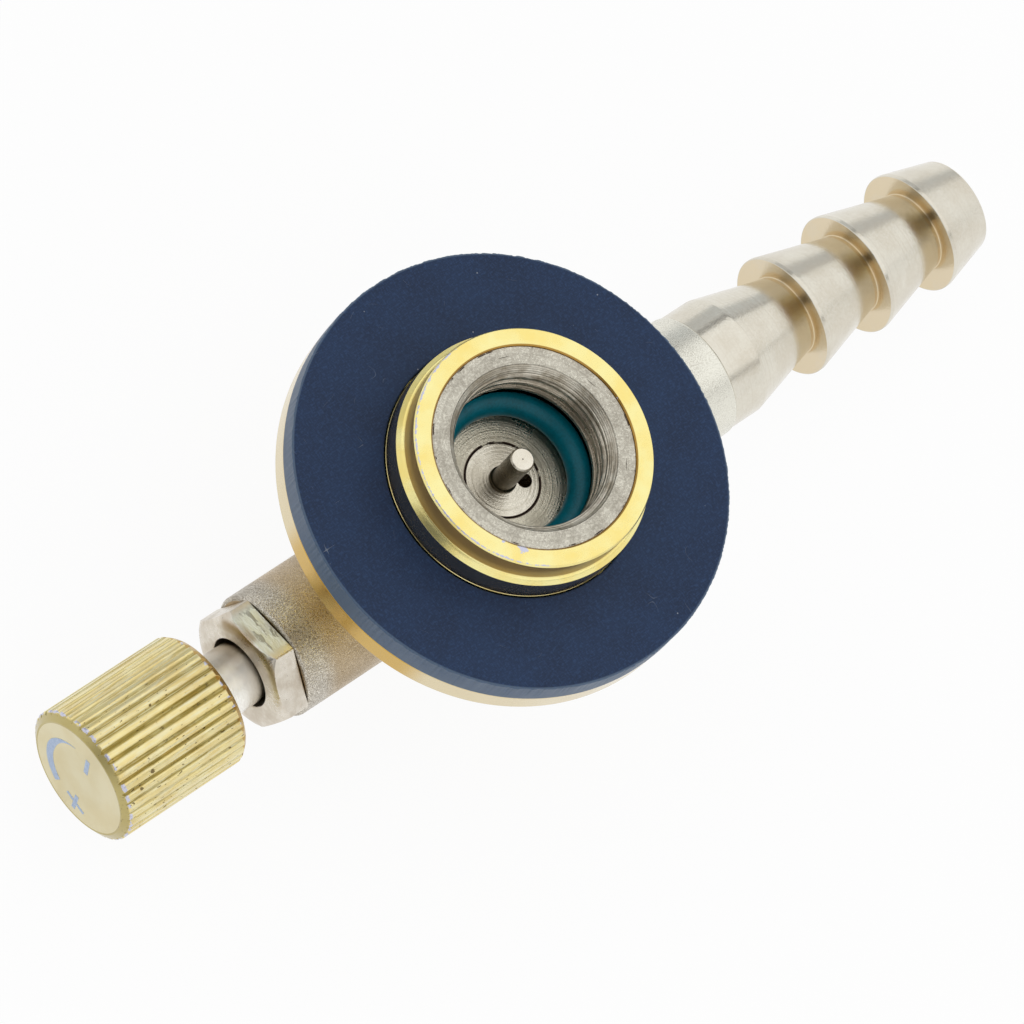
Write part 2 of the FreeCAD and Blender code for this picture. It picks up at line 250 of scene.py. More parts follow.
class Skin:
    """Grids of points that are welded into one closed mesh."""

    def __init__(self) -> None:
        """Start with no points."""
        self.points: list[np.ndarray] = []
        self.faces: list[np.ndarray] = []
        self.zones: list[np.ndarray] = []
        self.count = 0

    def add(self, grid: np.ndarray, zone: int = 0, close_rows: bool = False, close_columns: bool = True) -> None:
        """Add a grid: each cell between neighbouring rows and columns is a face.

        Args:
            grid: points in rows and columns, in millimetres.
            zone: the index of the finish on these faces.
            close_rows: join the last row to the first.
            close_columns: join the last column to the first.
        """
        height, width = grid.shape[:2]
        index = np.arange(height * width).reshape(height, width) + self.count
        index = np.vstack([index, index[:1]]) if close_rows else index
        index = np.hstack([index, index[:, :1]]) if close_columns else index
        cells = np.stack([index[:-1, :-1], index[:-1, 1:], index[1:, 1:], index[1:, :-1]], axis=-1).reshape(-1, 4)
        self.points.append(grid.reshape(-1, 3))
        self.faces.append(cells)
        self.zones.append(np.full(len(cells), zone))
        self.count += height * width

    def turn(self, line: Line, corners: list[Corner], columns: int, zone: int = 0, loop: bool = False) -> None:
        """Add a turned surface: the rounded outline of (place, radius, rounding) corners, carried round a line."""
        self.add(line.carry(rounded(corners, loop), full_turn(columns)), zone, close_rows=loop)

    def piece(self, name: str, finishes: tuple[Finish, ...], body: Body,
              stands_for: str | None = None) -> None:
        """Weld the grids and hand the piece to its body.

        Args:
            name: the new piece's name.
            finishes: one for each zone.
            body: what it rides on.
            stands_for: the CAD node that it replaces, if it replaces one.
        """
        mesh = bpy.data.meshes.new(name)
        mesh.from_pydata((np.concatenate(self.points) * MM).tolist(), [], np.concatenate(self.faces).tolist())
        mesh.polygons.foreach_set("material_index", np.concatenate(self.zones).astype(np.int32))
        for finish in finishes:
            mesh.materials.append(finish.make())
        work = bmesh.new()
        work.from_mesh(mesh)
        bmesh.ops.remove_doubles(work, verts=work.verts, dist=WELD_M)
        bmesh.ops.dissolve_degenerate(work, edges=work.edges, dist=WELD_M)
        bmesh.ops.recalc_face_normals(work, faces=work.faces)
        work.to_mesh(mesh)
        work.free()
        mesh.shade_smooth()
        mesh.set_sharp_from_angle(angle=math.radians(SMOOTH_UP_TO_DEG))
        made = put(name, mesh)
        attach(made, body.value)
        if stands_for:
            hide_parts(stands_for)
        log.info("%s: %d faces on %s", name, len(mesh.polygons), body.value)


@dataclass(frozen=True)
class Zone:
    """A part of a turned piece with a look of its own, which is a real finish in some zones and painted shade and
    painted reflection in others: ranges of place, radius and angle, a colour and a roughness.
    """

    places: Span
    radii: Span
    colour: Colour
    roughness: float
    angle_deg: float = 0.0
    spread_deg: float = 180.0
    blur: float = 0.02
    grain: float = 1.0
    fade: float = 0.06


@dataclass(frozen=True)
class Seam:
    """A thin dirty line round the inlet, where two pieces meet."""

    radius: float
    width: float
    share: float


class NodeSheet:
    """The shader nodes of one material, on Object coordinates in millimetres."""

    def __init__(self, name: str, shader: str = "BsdfPrincipled") -> None:
        """Start a material with one shader.

        Args:
            name: the material's name.
            shader: the shader node's type.
        """
        self.material = bpy.data.materials.new(name)
        self.material.use_nodes = True
        self.tree = self.material.node_tree
        self.tree.nodes.clear()
        self.shader = self.add(shader)
        self.add("OutputMaterial", {"Surface": self.shader.outputs[0]})
        self.place = self.vector("SCALE", self.add("TexCoord").outputs["Object"], 1.0 / MM)

    def add(self, kind: str, feeds: dict[str | int, object] | None = None, **settings: str) -> bpy.types.Node:
        """Add a node.

        Args:
            kind: the node's type, without the ShaderNode that each type begins with.
            feeds: what goes into its inputs, by their names or numbers.
            settings: its properties.

        Returns:
            The node.
        """
        node = self.tree.nodes.new("ShaderNode" + kind)
        for key, value in settings.items():
            setattr(node, key, value)
        self.feed(node, feeds or {})
        return node

    def feed(self, node: bpy.types.Node, feeds: dict[str | int, object]) -> None:
        """Link sockets into a node's inputs, or set plain values on them.

        Args:
            node: the node.
            feeds: the sockets and values, by the inputs' names or numbers.
        """
        for key, value in feeds.items():
            socket = node.inputs[key]
            if isinstance(value, Socket):
                self.tree.links.new(value, socket)
            else:
                socket.default_value = (*value, 1.0) if socket.type == "RGBA" else value

    def shade(self, colour: Socket, roughness: Socket, metallic: float) -> None:
        """Give the shader its colour, roughness and metal share."""
        self.feed(self.shader, {"Base Color": colour, "Roughness": roughness, "Metallic": metallic})

    def vector(self, operation: str, first: object, second: object = (0.0, 0.0, 0.0)) -> Socket:
        """A vector operation, whose result is a number where the operation gives one."""
        node = self.add("VectorMath", {0: first, "Scale" if operation == "SCALE" else 1: second}, operation=operation)
        return node.outputs["Value" if operation in ("LENGTH", "DISTANCE", "DOT_PRODUCT") else "Vector"]

    def maths(self, operation: str, first: object, *others: object) -> Socket:
        """A number operation.

        Args:
            operation: its name.
            first: the first or only value.
            others: the values that it is worked out with, from left to right.

        Returns:
            The result.
        """
        for other in others or (0.0,):
            first = self.add("Math", {0: first, 1: other}, operation=operation).outputs[0]
        return first

    def times(self, *values: object) -> Socket:
        """The product of the values."""
        return self.maths("MULTIPLY", *values)

    def plus(self, *values: object) -> Socket:
        """The sum of the values."""
        return self.maths("ADD", *values)

    def minus(self, first: object, second: object) -> Socket:
        """The first value without the second."""
        return self.maths("SUBTRACT", first, second)

    def most(self, *values: object) -> Socket:
        """The largest of the values."""
        return self.maths("MAXIMUM", *values)

    def gap(self, first: object, second: object) -> Socket:
        """How far two values are apart."""
        return self.maths("ABSOLUTE", self.minus(first, second))

    def step(self, value: object, low: float, high: float, start: float = 0.0, end: float = 1.0) -> Socket:
        """The smooth step of a number from one edge to the other, between two results."""
        feeds = dict(enumerate((value, low, high, start, end)))
        return self.add("MapRange", feeds, interpolation_type="SMOOTHSTEP").outputs[0]

    def mix(self, share: object, first: object, second: object) -> Socket:
        """Blend two colours."""
        return self.add("Mix", {"Factor": share, 6: first, 7: second}, data_type="RGBA").outputs[2]

    def noise(self, size: float, detail: float = 3.0, roughness: float = 0.55, stretch: Point = (1.0, 1.0, 1.0),
              place: Socket | None = None) -> Socket:
        """Cloudy noise.

        Args:
            size: about how large its lumps are, in millimetres.
            detail: how many finer layers it has.
            roughness: how strong the finer layers are.
            stretch: a factor for each axis; lumps are drawn out along an axis with a small one.
            place: where to read it, if not at the spot itself.

        Returns:
            Its value, mostly between the two numbers of CLOUDY.
        """
        return self.add("TexNoise", {
            "Vector": self.vector("MULTIPLY", place or self.place, stretch), "Scale": 1.0 / size, "Detail": detail,
            "Roughness": roughness}).outputs[0]

    def rings(self, line: Line, pitch: float) -> Socket:
        """Turning marks: noise of one dimension along place plus radius, so that faces and walls both have rings."""
        spot = self.plus(self.along(line), self.radius(line))
        return self.add("TexNoise", {"W": spot, "Scale": 1.0 / pitch, "Detail": 2.0}, noise_dimensions="1D").outputs[0]

    def along(self, line: Line) -> Socket:
        """The place along a line."""
        return self.vector("DOT_PRODUCT", self.vector("SUBTRACT", self.place, line.origin), line.along)

    def radius(self, line: Line) -> Socket:
        """The distance from a line."""
        square = tuple(1.0 - abs(part) for part in line.along)
        return self.vector("LENGTH", self.vector("MULTIPLY", self.vector("SUBTRACT", self.place, line.origin), square))

    def specks(self, size: float, share: float, radius: float, line: Line | None = None,
               turn_deg: float = 0.0) -> Socket:
        """Separate specks, of which a cell holds one at most.

        Args:
            size: the size of a cell, in millimetres.
            share: the share of cells that hold a speck.
            radius: the speck's radius, as a part of the cell.
            line: if given, the specks are straight scratches that lie square to this axis.
            turn_deg: the scratches' direction, as an angle round that axis.

        Returns:
            1 on a speck and 0 beside it.
        """
        spot = self.place
        if line is not None:
            turned = self.add("VectorRotate", {"Vector": spot, "Axis": line.along, "Angle": math.radians(turn_deg)},
                              rotation_type="AXIS_ANGLE")
            spot = self.vector("MULTIPLY", turned.outputs[0], tuple(1.0 - 0.95 * part for part in line.side))
        cells = self.add("TexVoronoi", {"Vector": spot, "Scale": 1.0 / size})
        chosen = self.vector("DOT_PRODUCT", cells.outputs["Color"], (1.0, 0.0, 0.0))
        return self.times(self.step(cells.outputs["Distance"], radius, radius * 0.5),
                          self.maths("LESS_THAN", chosen, share))

    def hairs(self, size: float, width: float, share: float) -> Socket:
        """Thin broken curls: where cloudy noise is close to its middle, in the patches that another noise picks.

        Args:
            size: about how large the curls are, in millimetres.
            width: how far from its middle the noise can be.
            share: the share of the surface that has curls.

        Returns:
            1 on a curl and 0 beside it.
        """
        elsewhere = self.vector("ADD", self.place, (31.0, 17.0, 5.0))
        patches = self.noise(size * 0.6, 0.0, place=elsewhere)
        return self.times(self.step(self.gap(self.noise(size, 0.0), 0.5), width, 0.0),
                          self.step(patches, 0.8 - share, 0.84 - share))

    def towards(self, line: Line, angle_deg: float, spread_deg: float, fade: float = 0.06) -> Socket:
        """1 within a spread of angles round a line, 0 beyond it.

        Args:
            line: the line.
            angle_deg: the middle of the spread.
            spread_deg: the angle to either side of it.
            fade: over how much of the cosine the edge is soft.

        Returns:
            The smooth step of the cosine of the angle to the middle.
        """
        spoke = tuple(np.subtract(line.spot(0.0, 1.0, angle_deg), line.origin).tolist())
        offset = self.vector("SUBTRACT", self.place, line.origin)
        cosine = self.maths("DIVIDE", self.vector("DOT_PRODUCT", offset, spoke), self.radius(line))
        edge = math.cos(math.radians(spread_deg))
        return self.step(cosine, edge, edge + fade)

    def inside(self, line: Line, zone: Zone) -> Socket:
        """Find a zone.

        Args:
            line: the line that it lies round.
            zone: the zone.

        Returns:
            1 inside it and 0 outside it.
        """
        spans = ((self.along(line), zone.places), (self.radius(line), zone.radii))
        found = self.times(*(self.step(spot, edge - sign * zone.blur, edge + sign * zone.blur)
                             for spot, span in spans for edge, sign in zip(span, (1.0, -1.0))))
        if zone.spread_deg < 180.0:
            found = self.times(found, self.towards(line, zone.angle_deg, zone.spread_deg, zone.fade))
        return found

    def bump(self, height: Socket, depth: float) -> None:
        """Raise the surface by a height map, over any bump that it has already.

        Args:
            height: the height map.
            depth: how much a height of 1 is, in millimetres.
        """
        node = self.add("Bump", {"Height": height, "Distance": depth * MM})
        normal = self.shader.inputs["Normal"]
        if normal.is_linked:
            self.feed(node, {"Normal": normal.links[0].from_socket})
        self.tree.links.new(node.outputs[0], normal)


@dataclass(frozen=True)
class Brass(Finish):
    """Bare brass: turned rings, grain, a little tarnish, scratches and dirty seams.

    The pairs are the roughness where it is bright and where it is dull, the rings' pitch and depth, and the
    grain's size and depth.
    """

    name: str
    line: Line
    bright: Colour
    dull: Colour
    roughness: Span
    rings: Span
    grain: Span
    grain_stain: float = 0.3
    tarnish_size: float = 3.0
    scratch_share: float = 0.0
    scratch_turns: tuple[float, ...] = (17.0, 75.0, 130.0)
    scratch_depth: float = 0.012
    torn_depth: float = 0.12
    zones: tuple[Zone, ...] = ()
    torn: Zone | None = None
    seams: tuple[Seam, ...] = ()
    dirt: Colour = (0.06, 0.04, 0.03)

    def make(self) -> Material:
        """The brass as a material."""
        sheet = NodeSheet(self.name)
        grain = sheet.step(sheet.noise(self.grain[0], roughness=0.7), 0.36, 0.64)
        rings = sheet.rings(self.line, self.rings[0])
        worn = sheet.plus(sheet.step(sheet.noise(self.tarnish_size, 4.0), 0.35, 0.68, 0.0, 1.0 - self.grain_stain),
                          sheet.times(sheet.minus(1.0, grain), self.grain_stain))
        colour = sheet.mix(worn, self.bright, self.dull)
        roughness = sheet.step(worn, 0.0, 1.0, *self.roughness)
        if self.rings[1]:
            colour = sheet.mix(sheet.step(rings, 0.5, 0.32, 0.0, 0.35), colour, self.dull)
        height = grain
        for zone in self.zones:
            here = sheet.inside(self.line, zone)
            colour = sheet.mix(sheet.times(here, sheet.step(worn, 0.9, 0.4, 0.75, 1.0)), colour, zone.colour)
            roughness = sheet.plus(roughness, sheet.times(here, zone.roughness - self.roughness[1]))
            height = sheet.times(height, sheet.step(here, 0.0, 1.0, 1.0, zone.grain))
        if self.torn:
            here = sheet.inside(self.line, self.torn)
            ragged = sheet.noise(0.5, 4.0, 0.6, stretch=(1.0, 0.2, 1.0))
            colour = sheet.mix(sheet.times(here, sheet.step(ragged, 0.56, 0.6)), colour, self.torn.colour)
            sheet.bump(sheet.times(here, ragged), self.torn_depth)
        for turn in self.scratch_turns if self.scratch_share else ():
            scratch = sheet.specks(0.4, self.scratch_share, 0.08, self.line, turn)
            colour = sheet.mix(scratch, colour, tuple(part * 0.3 for part in self.dull))
            sheet.bump(sheet.times(scratch, -1.0), self.scratch_depth)
        for seam in self.seams:
            off = sheet.gap(sheet.radius(self.line), seam.radius)
            broken = sheet.step(sheet.noise(1.3, 4.0), 0.72 - 0.5 * seam.share, 0.78 - 0.5 * seam.share)
            colour = sheet.mix(sheet.times(sheet.step(off, seam.width, seam.width * 0.4), broken), colour, self.dirt)
        sheet.shade(colour, roughness, 1.0)
        sheet.bump(height, self.grain[1])
        if self.rings[1]:
            sheet.bump(rings, self.rings[1])
        return sheet.material


@dataclass(frozen=True)
class WornEdge:
    """A circle along which the anodised skin is worn through here and there."""

    place: float
    radius: float
    reach: float
    share: float
    angle_deg: float = 0.0
    spread_deg: float = 180.0


@dataclass(frozen=True)
class Nick:
    """One knock that left bare metal, or one pit."""

    centre: Point
    size: float


@dataclass(frozen=True)
class Flutes:
    """The look of a fluted wall: painted shade in the grooves, lands streaked with axial marks and painted highlight
    lines, and dark pits.

    The radii are those of the lands and of the grooves, and the streaks begin at a place along the line.
    """

    radii: Span
    shade: float
    streak_start: float
    streak_share: float
    pit_share: float
    pit_angle_deg: float
    pits: tuple[Nick, ...]
    # Olive-brown of the grooves: painted shade.
    groove: Colour = (0.40, 0.33, 0.12)
    # Pale streak colour: the lands' axial marks, with painted highlight lines in them.
    streak_and_highlight: Colour = (0.84, 0.82, 0.58)
    pit_depth: float = 0.03


@dataclass(frozen=True)
class GoldSkin(Finish):
    """Gold anodised aluminium: a warm dyed skin with turning rings, given as pitch and depth, and bare nicks."""

    name: str
    line: Line
    light: Colour
    deep: Colour
    roughness: float
    rings: Span
    flutes: Flutes | None = None
    edges: tuple[WornEdge, ...] = ()
    nicks: tuple[Nick, ...] = ()
    zones: tuple[Zone, ...] = ()
    bare: Colour = (0.60, 0.60, 0.72)
    dirt: Colour = (0.22, 0.16, 0.06)
    coat: Span = (0.45, 0.15)
    grain: Span = (0.12, 0.003)
    edge_fray: float = 0.06
    nick_fray: float = 0.4

    def make(self) -> Material:
        """The skin as a material."""
        sheet = NodeSheet(self.name)
        cloud = sheet.noise(2.5, 4.0)
        ragged = sheet.noise(0.22, roughness=0.7)
        colour = sheet.mix(sheet.step(cloud, *CLOUDY), self.light, self.deep)
        if self.flutes:
            colour = self.grooves(sheet, self.flutes, colour)
        roughness = sheet.step(cloud, *CLOUDY, self.roughness, self.roughness + 0.08)
        for zone in self.zones:
            here = sheet.inside(self.line, zone)
            colour = sheet.mix(here, colour, zone.colour)
            roughness = sheet.plus(roughness, sheet.times(here, zone.roughness - self.roughness))
        if self.flutes:
            pits = self.pits(sheet, self.flutes, ragged)
            colour = sheet.mix(pits, colour, self.dirt)
            sheet.bump(sheet.times(pits, -1.0), self.flutes.pit_depth)
        bare = [self.blotch(sheet, nick, ragged) for nick in self.nicks]
        bare += [self.worn(sheet, edge, ragged) for edge in self.edges]
        if bare:
            colour = sheet.mix(sheet.most(*bare), colour, self.bare)
        sheet.shade(colour, roughness, 1.0)
        sheet.feed(sheet.shader, {"Coat Weight": self.coat[0], "Coat Roughness": self.coat[1]})
        sheet.bump(sheet.noise(self.grain[0], 2.0), self.grain[1])
        sheet.bump(sheet.rings(self.line, self.rings[0]), self.rings[1])
        return sheet.material

    def grooves(self, sheet: NodeSheet, flutes: Flutes, colour: Socket) -> Socket:
        """Paint shade into the grooves and draw streaks along the lands, whose pale ones are painted highlight lines.

        Args:
            sheet: the material's nodes.
            flutes: the fluted wall.
            colour: the colour so far.

        Returns:
            The new colour.
        """
        # Painted shade: the grooves are darkened by their depth.
        groove_shade_mask = sheet.step(sheet.radius(self.line), *flutes.radii, 0.0, flutes.shade)
        colour = sheet.mix(groove_shade_mask, colour, flutes.groove)
        on_land = sheet.step(sheet.along(self.line), flutes.streak_start, flutes.streak_start + 0.05)
        # The pale streaks are partly real axial marks and partly painted highlight lines; the middle ones take the deep
        # gold.
        for number, tone in enumerate((flutes.streak_and_highlight, self.deep, flutes.streak_and_highlight)):
            drawn = sheet.noise(0.1 + 0.05 * number, 2.0, stretch=(0.06 + 0.02 * number, 1.0, 1.0))
            share = sheet.times(on_land, sheet.step(drawn, 0.5, 0.62, 0.0, flutes.streak_share))
            colour = sheet.mix(share, colour, tone)
        return colour

    def pits(self, sheet: NodeSheet, flutes: Flutes, ragged: Socket) -> Socket:
        """Scattered pits towards one side, and each large one.

        Args:
            sheet: the material's nodes.
            flutes: the fluted wall.
            ragged: the noise that frays the large ones.

        Returns:
            1 in a pit and 0 elsewhere.
        """
        lumps = sheet.noise(0.16, 2.0, stretch=(0.45, 1.0, 1.0))
        scattered = sheet.step(sheet.plus(lumps, sheet.towards(self.line, flutes.pit_angle_deg, 70.0)),
                               1.72 - flutes.pit_share, 1.76 - flutes.pit_share)
        return sheet.most(scattered, *(self.blotch(sheet, pit, ragged) for pit in flutes.pits))

    def frayed(self, sheet: NodeSheet, away: Socket, ragged: Socket, fray: float) -> Socket:
        """A distance that ragged noise makes longer or shorter."""
        return sheet.plus(away, sheet.step(ragged, *CLOUDY, -fray, fray))

    def blotch(self, sheet: NodeSheet, nick: Nick, ragged: Socket) -> Socket:
        """A ragged spot round one point."""
        away = sheet.vector("DISTANCE", sheet.place, nick.centre)
        return sheet.step(self.frayed(sheet, away, ragged, self.nick_fray * nick.size), nick.size, nick.size * 0.8)

    def worn(self, sheet: NodeSheet, edge: WornEdge, ragged: Socket) -> Socket:
        """Broken stretches along a worn edge.

        Args:
            sheet: the material's nodes.
            edge: the worn edge.
            ragged: the noise that frays it.

        Returns:
            1 where the skin is gone, 0 elsewhere.
        """
        offs = (sheet.minus(sheet.along(self.line), edge.place), sheet.minus(sheet.radius(self.line), edge.radius))
        away = sheet.maths("SQRT", sheet.plus(*(sheet.times(off, off) for off in offs)))
        near = sheet.step(self.frayed(sheet, away, ragged, self.edge_fray), edge.reach, edge.reach * 0.7)
        if edge.spread_deg < 180.0:
            near = sheet.times(near, sheet.towards(self.line, edge.angle_deg, edge.spread_deg))
        return sheet.times(near, sheet.step(sheet.noise(0.7, 2.0), 0.8 - 0.6 * edge.share, 0.83 - 0.6 * edge.share))


@dataclass(frozen=True)
class Rubber(Finish):
    """Moulded or cut rubber with a faint mottle, a fabric's imprint, fine grain, lint and hair scratches, and a painted
    sheen in a lighter colour on its outer rim.
    """

    name: str
    light: Colour
    dark: Colour
    roughness: float
    grain_depth: float
    specular: float = 0.25
    lint_share: float = 0.0
    weave_depth: float = 0.0
    rim_radius: float = 0.0
    rim_specular: float = 0.6
    # Lighter slate for the outer rim: painted sheen.
    rim: Colour = (0.06, 0.105, 0.175)
    lint: Colour = (0.55, 0.6, 0.66)

    def make(self) -> Material:
        """The rubber as a material."""
        sheet = NodeSheet(self.name)
        cloud = sheet.noise(3.5, 5.0, 0.6)
        grain = sheet.noise(0.14, roughness=0.7)
        share = sheet.plus(sheet.step(cloud, *CLOUDY, 0.0, 0.6), sheet.step(grain, 0.35, 0.65, 0.0, 0.4))
        colour = sheet.mix(share, self.dark, self.light)
        gloss = self.specular
        # Painted sheen: beyond rim_radius the rubber takes the lighter rim colour, and more specular.
        if self.rim_radius:
            rim_sheen_mask = sheet.step(sheet.radius(INLET), self.rim_radius - 0.12, self.rim_radius)
            colour = sheet.mix(rim_sheen_mask, colour, self.rim)
            gloss = sheet.step(rim_sheen_mask, 0.0, 1.0, self.specular, self.rim_specular)
        if self.lint_share:
            fine, coarse = sheet.specks(0.7, self.lint_share, 0.09), sheet.specks(1.9, self.lint_share, 0.055)
            marks = sheet.most(sheet.times(sheet.most(fine, coarse), 0.5),
                               sheet.times(sheet.hairs(2.2, 0.002, 0.12), 0.25))
            colour = sheet.mix(marks, colour, self.lint)
        sheet.bump(grain, self.grain_depth)
        if self.weave_depth:
            weave = sheet.plus(*(sheet.noise(0.1, 1.0, stretch=way) for way in ((0.3, 1.0, 1.0), (1.0, 0.3, 1.0))))
            threads = sheet.step(weave, 0.95, 1.3, 0.0, 0.25)
            colour = sheet.mix(threads, colour, tuple(part * 2.6 for part in self.light))
            sheet.bump(weave, self.weave_depth)
        sheet.bump(cloud, self.grain_depth * 2.0)
        sheet.shade(colour, sheet.step(cloud, *CLOUDY, self.roughness, self.roughness + 0.1), 0.0)
        sheet.feed(sheet.shader, {"Specular IOR Level": gloss})
        return sheet.material


@dataclass(frozen=True)
class Plain(Finish):
    """A simple stock material with grain, given as size and depth: fibre, plastic, sintered metal or print."""

    name: str
    light: Colour
    dark: Colour
    roughness: float
    grain: Span
    metallic: float = 0.0

    def make(self) -> Material:
        """The stock as a material."""
        sheet = NodeSheet(self.name)
        grain = sheet.noise(self.grain[0])
        sheet.shade(sheet.mix(sheet.step(grain, 0.35, 0.65), self.dark, self.light), self.roughness, self.metallic)
        sheet.bump(grain, self.grain[1])
        return sheet.material


@dataclass(frozen=True)
class ValveBody:
    """The forged body: a drum under the flange, a barrel across it, and the threaded inlet in its boss.

    The bores of a side are steps from the innermost outwards, each given as where it starts and its radius.
    """

    boss_radius: float = 6.94
    barrel_radius: float = 4.5
    barrel_edge: float = 0.12
    end_land: float = 0.5
    face_middle: float = 4.2
    foot_radius: float = 5.2
    foot_bevel: Span = (0.02, 0.03)
    dome_height: float = 5.5
    forging_fillet: float = 1.0
    shoulder_edge: float = 0.05
    mouth_radius: float = 5.74
    mouth_edge: float = 0.04
    thread_major: float = 5.556
    thread_minor: float = 5.16
    thread_pitch: float = 0.907
    thread_groove: Span = (0.3, 0.85)
    thread_depth: float = 3.7
    pocket_radius: float = 6.1
    filter_radius: float = 2.2
    filter_thickness: float = 1.0
    channel_radius: float = 1.0
    channel_end: float = -10.6
    tail_bores: tuple[Span, ...] = ((1.6, 0.7), (3.0, 2.0), (15.2, 3.5))
    knob_bores: tuple[Span, ...] = ((1.55, 2.4), (-6.525, 3.0), (-12.05, 3.5))
    bore_rounding: float = 0.05
    lead_in: float = 0.15
    columns: int = 144
    barrel_rows: int = 24
    fillet_rows: int = 9
    thread_rows: int = 90
    foot_rows: int = 4
    hub_steps: int = 96

    forged = Brass("forged_brass", BARREL, (0.84, 0.79, 0.69), (0.22, 0.18, 0.13), (0.24, 0.38), (0.1, 0.0),
                   (0.09, 0.016), grain_stain=0.75,
                   # First zone: golden-brown on the drum and on the barrel near it, under the flange: painted
                   # reflection of the gold flange and painted shade under its overhang.
                   zones=(Zone((-14.0, 12.0), (4.3, 20.0), (0.50, 0.35, 0.17), 0.36, blur=0.9),
                          Zone((17.0, 22.2), (4.1, 4.6), (0.84, 0.83, 0.74), 0.33, blur=0.2, grain=0.2)))
    boss = Brass("boss_brass", INLET, (0.72, 0.69, 0.59), (0.38, 0.35, 0.29), (0.24, 0.36), (0.2, 0.012),
                 (0.13, 0.012), grain_stain=0.6, tarnish_size=1.2, scratch_share=0.16, seams=(Seam(6.84, 0.06, 0.35),))
    # Dark brown-tan on the bores and on the barrel's end faces: painted shade.
    bore = Brass("bore_brass_painted_shade", BARREL, (0.50, 0.38, 0.22), (0.36, 0.26, 0.15), (0.28, 0.42), (0.09, 0.004),
                 (0.12, 0.006))
    floor = Brass("inlet_floor_brass", INLET, (0.68, 0.64, 0.52), (0.42, 0.38, 0.29), (0.26, 0.36), (0.17, 0.022),
                  (0.12, 0.006), grain_stain=0.35, seams=(Seam(2.63, 0.07, 0.75),))
    thread = Brass("thread_brass", INLET, (0.74, 0.70, 0.60), (0.36, 0.31, 0.23), (0.28, 0.4), (0.16, 0.09),
                   (0.25, 0.006), tarnish_size=1.2,
                   # Darker lower part of the thread, deep in the hole: painted shade.
                   zones=(Zone((0.0, 2.3), (5.0, 5.7), (0.50, 0.43, 0.33), 0.34, blur=0.6),))

    def build(self) -> None:
        """Build the body as one closed skin: zones 0 forged, 1 boss, 2 bores, 3 the inlet's floor, 4 thread."""
        skin = Skin()
        turn = full_turn(self.columns)
        on_barrel, fillet, on_hub = self.corner_blend(turn)
        for sign, end, bores in ((1.0, VALVE.right, self.tail_bores), (-1.0, VALVE.left, self.knob_bores)):
            for zone, corners in ((2, self.bore_corners(sign, end, bores)), (0, self.end_corners(sign, end))):
                skin.add(BARREL.carry(rounded(corners), math.pi / 2 - turn), zone)
            mirror = np.array([sign, 1.0, 1.0])
            start = on_barrel.copy()
            start[:, 0] = end - sign * (self.barrel_edge + self.end_land)
            share = np.linspace(0.0, 1.0, self.barrel_rows)[:, None, None]
            skin.add(start + (on_barrel * mirror - start) * share)
            skin.add(fillet * mirror)
        half = self.columns // 2
        for picked, far in ((np.arange(half + 1), math.pi), (np.arange(half, self.columns + 1), -math.pi)):
            skin.add(self.hub_between(on_hub[picked % self.columns], far), close_columns=False)
        around = full_turn(2 * self.hub_steps)
        outlines = *self.inlet_outlines(float(on_hub[0, 2]), around), self.foot_outline(on_hub[half])
        for zone, outline in zip((0, 1, 4, 3, 0), outlines):
            skin.add(INLET.carry(outline, around), zone)
        skin.piece("forged_body", (self.forged, self.boss, self.bore, self.floor, self.thread), Body.FIXED,
                   "valve_body")

    @property
    def dome_radius(self) -> float:
        """The radius of the arc from the drum's side to the foot, through both ends and tangent to the side."""
        inset = VALVE.radius - self.foot_radius
        return (inset**2 + self.dome_height**2) / (2 * inset)

    @property
    def dome_top(self) -> float:
        """The height at which the drum's straight side ends."""
        return VALVE.bottom + self.dome_height

    def corner_blend(self, turn: np.ndarray) -> tuple[np.ndarray, np.ndarray, np.ndarray]:
        """The round corner between barrel and drum, as a ball rolls along it.

        The ball's centre keeps its radius away from both surfaces: it lies barrel radius + ball from the barrel's
        axis, at an angle from the top, and on the drum's outline moved out by the ball. It touches the barrel
        straight towards the barrel's axis, and the drum straight towards its axis or the dome's arc centre.

        Args:
            turn: angles round the barrel, counted from its top towards +Y.

        Returns:
            The line of touch on the barrel, the rows of the blend, and the line of touch on the drum.
        """
        ball, hub, dome = self.forging_fillet, VALVE.radius, self.dome_radius
        x = np.zeros_like(turn)
        ways = np.stack([x, np.sin(turn), np.cos(turn)], axis=1)
        centre, on_barrel = (np.array([0.0, 0.0, BARREL_HEIGHT]) + away * ways
                             for away in (self.barrel_radius + ball, self.barrel_radius))
        y, z = centre[:, 1], centre[:, 2]
        below = np.minimum(z - self.dome_top, 0.0)
        out = hub - dome + np.sqrt((dome + ball) ** 2 - below**2)
        centre[:, 0] = on_barrel[:, 0] = x = np.sqrt(out**2 - y**2)
        near = hub - dome + (out - hub + dome) * dome / (dome + ball)
        on_hub = np.stack([x * near / out, y * near / out, z - below + below * dome / (dome + ball)], axis=1)
        first, final = on_barrel - centre, on_hub - centre
        bend = np.arccos(np.clip((first * final).sum(1) / ball**2, -1.0, 1.0))[:, None]
        return on_barrel, centre + swing(first, final, bend, self.fillet_rows), on_hub

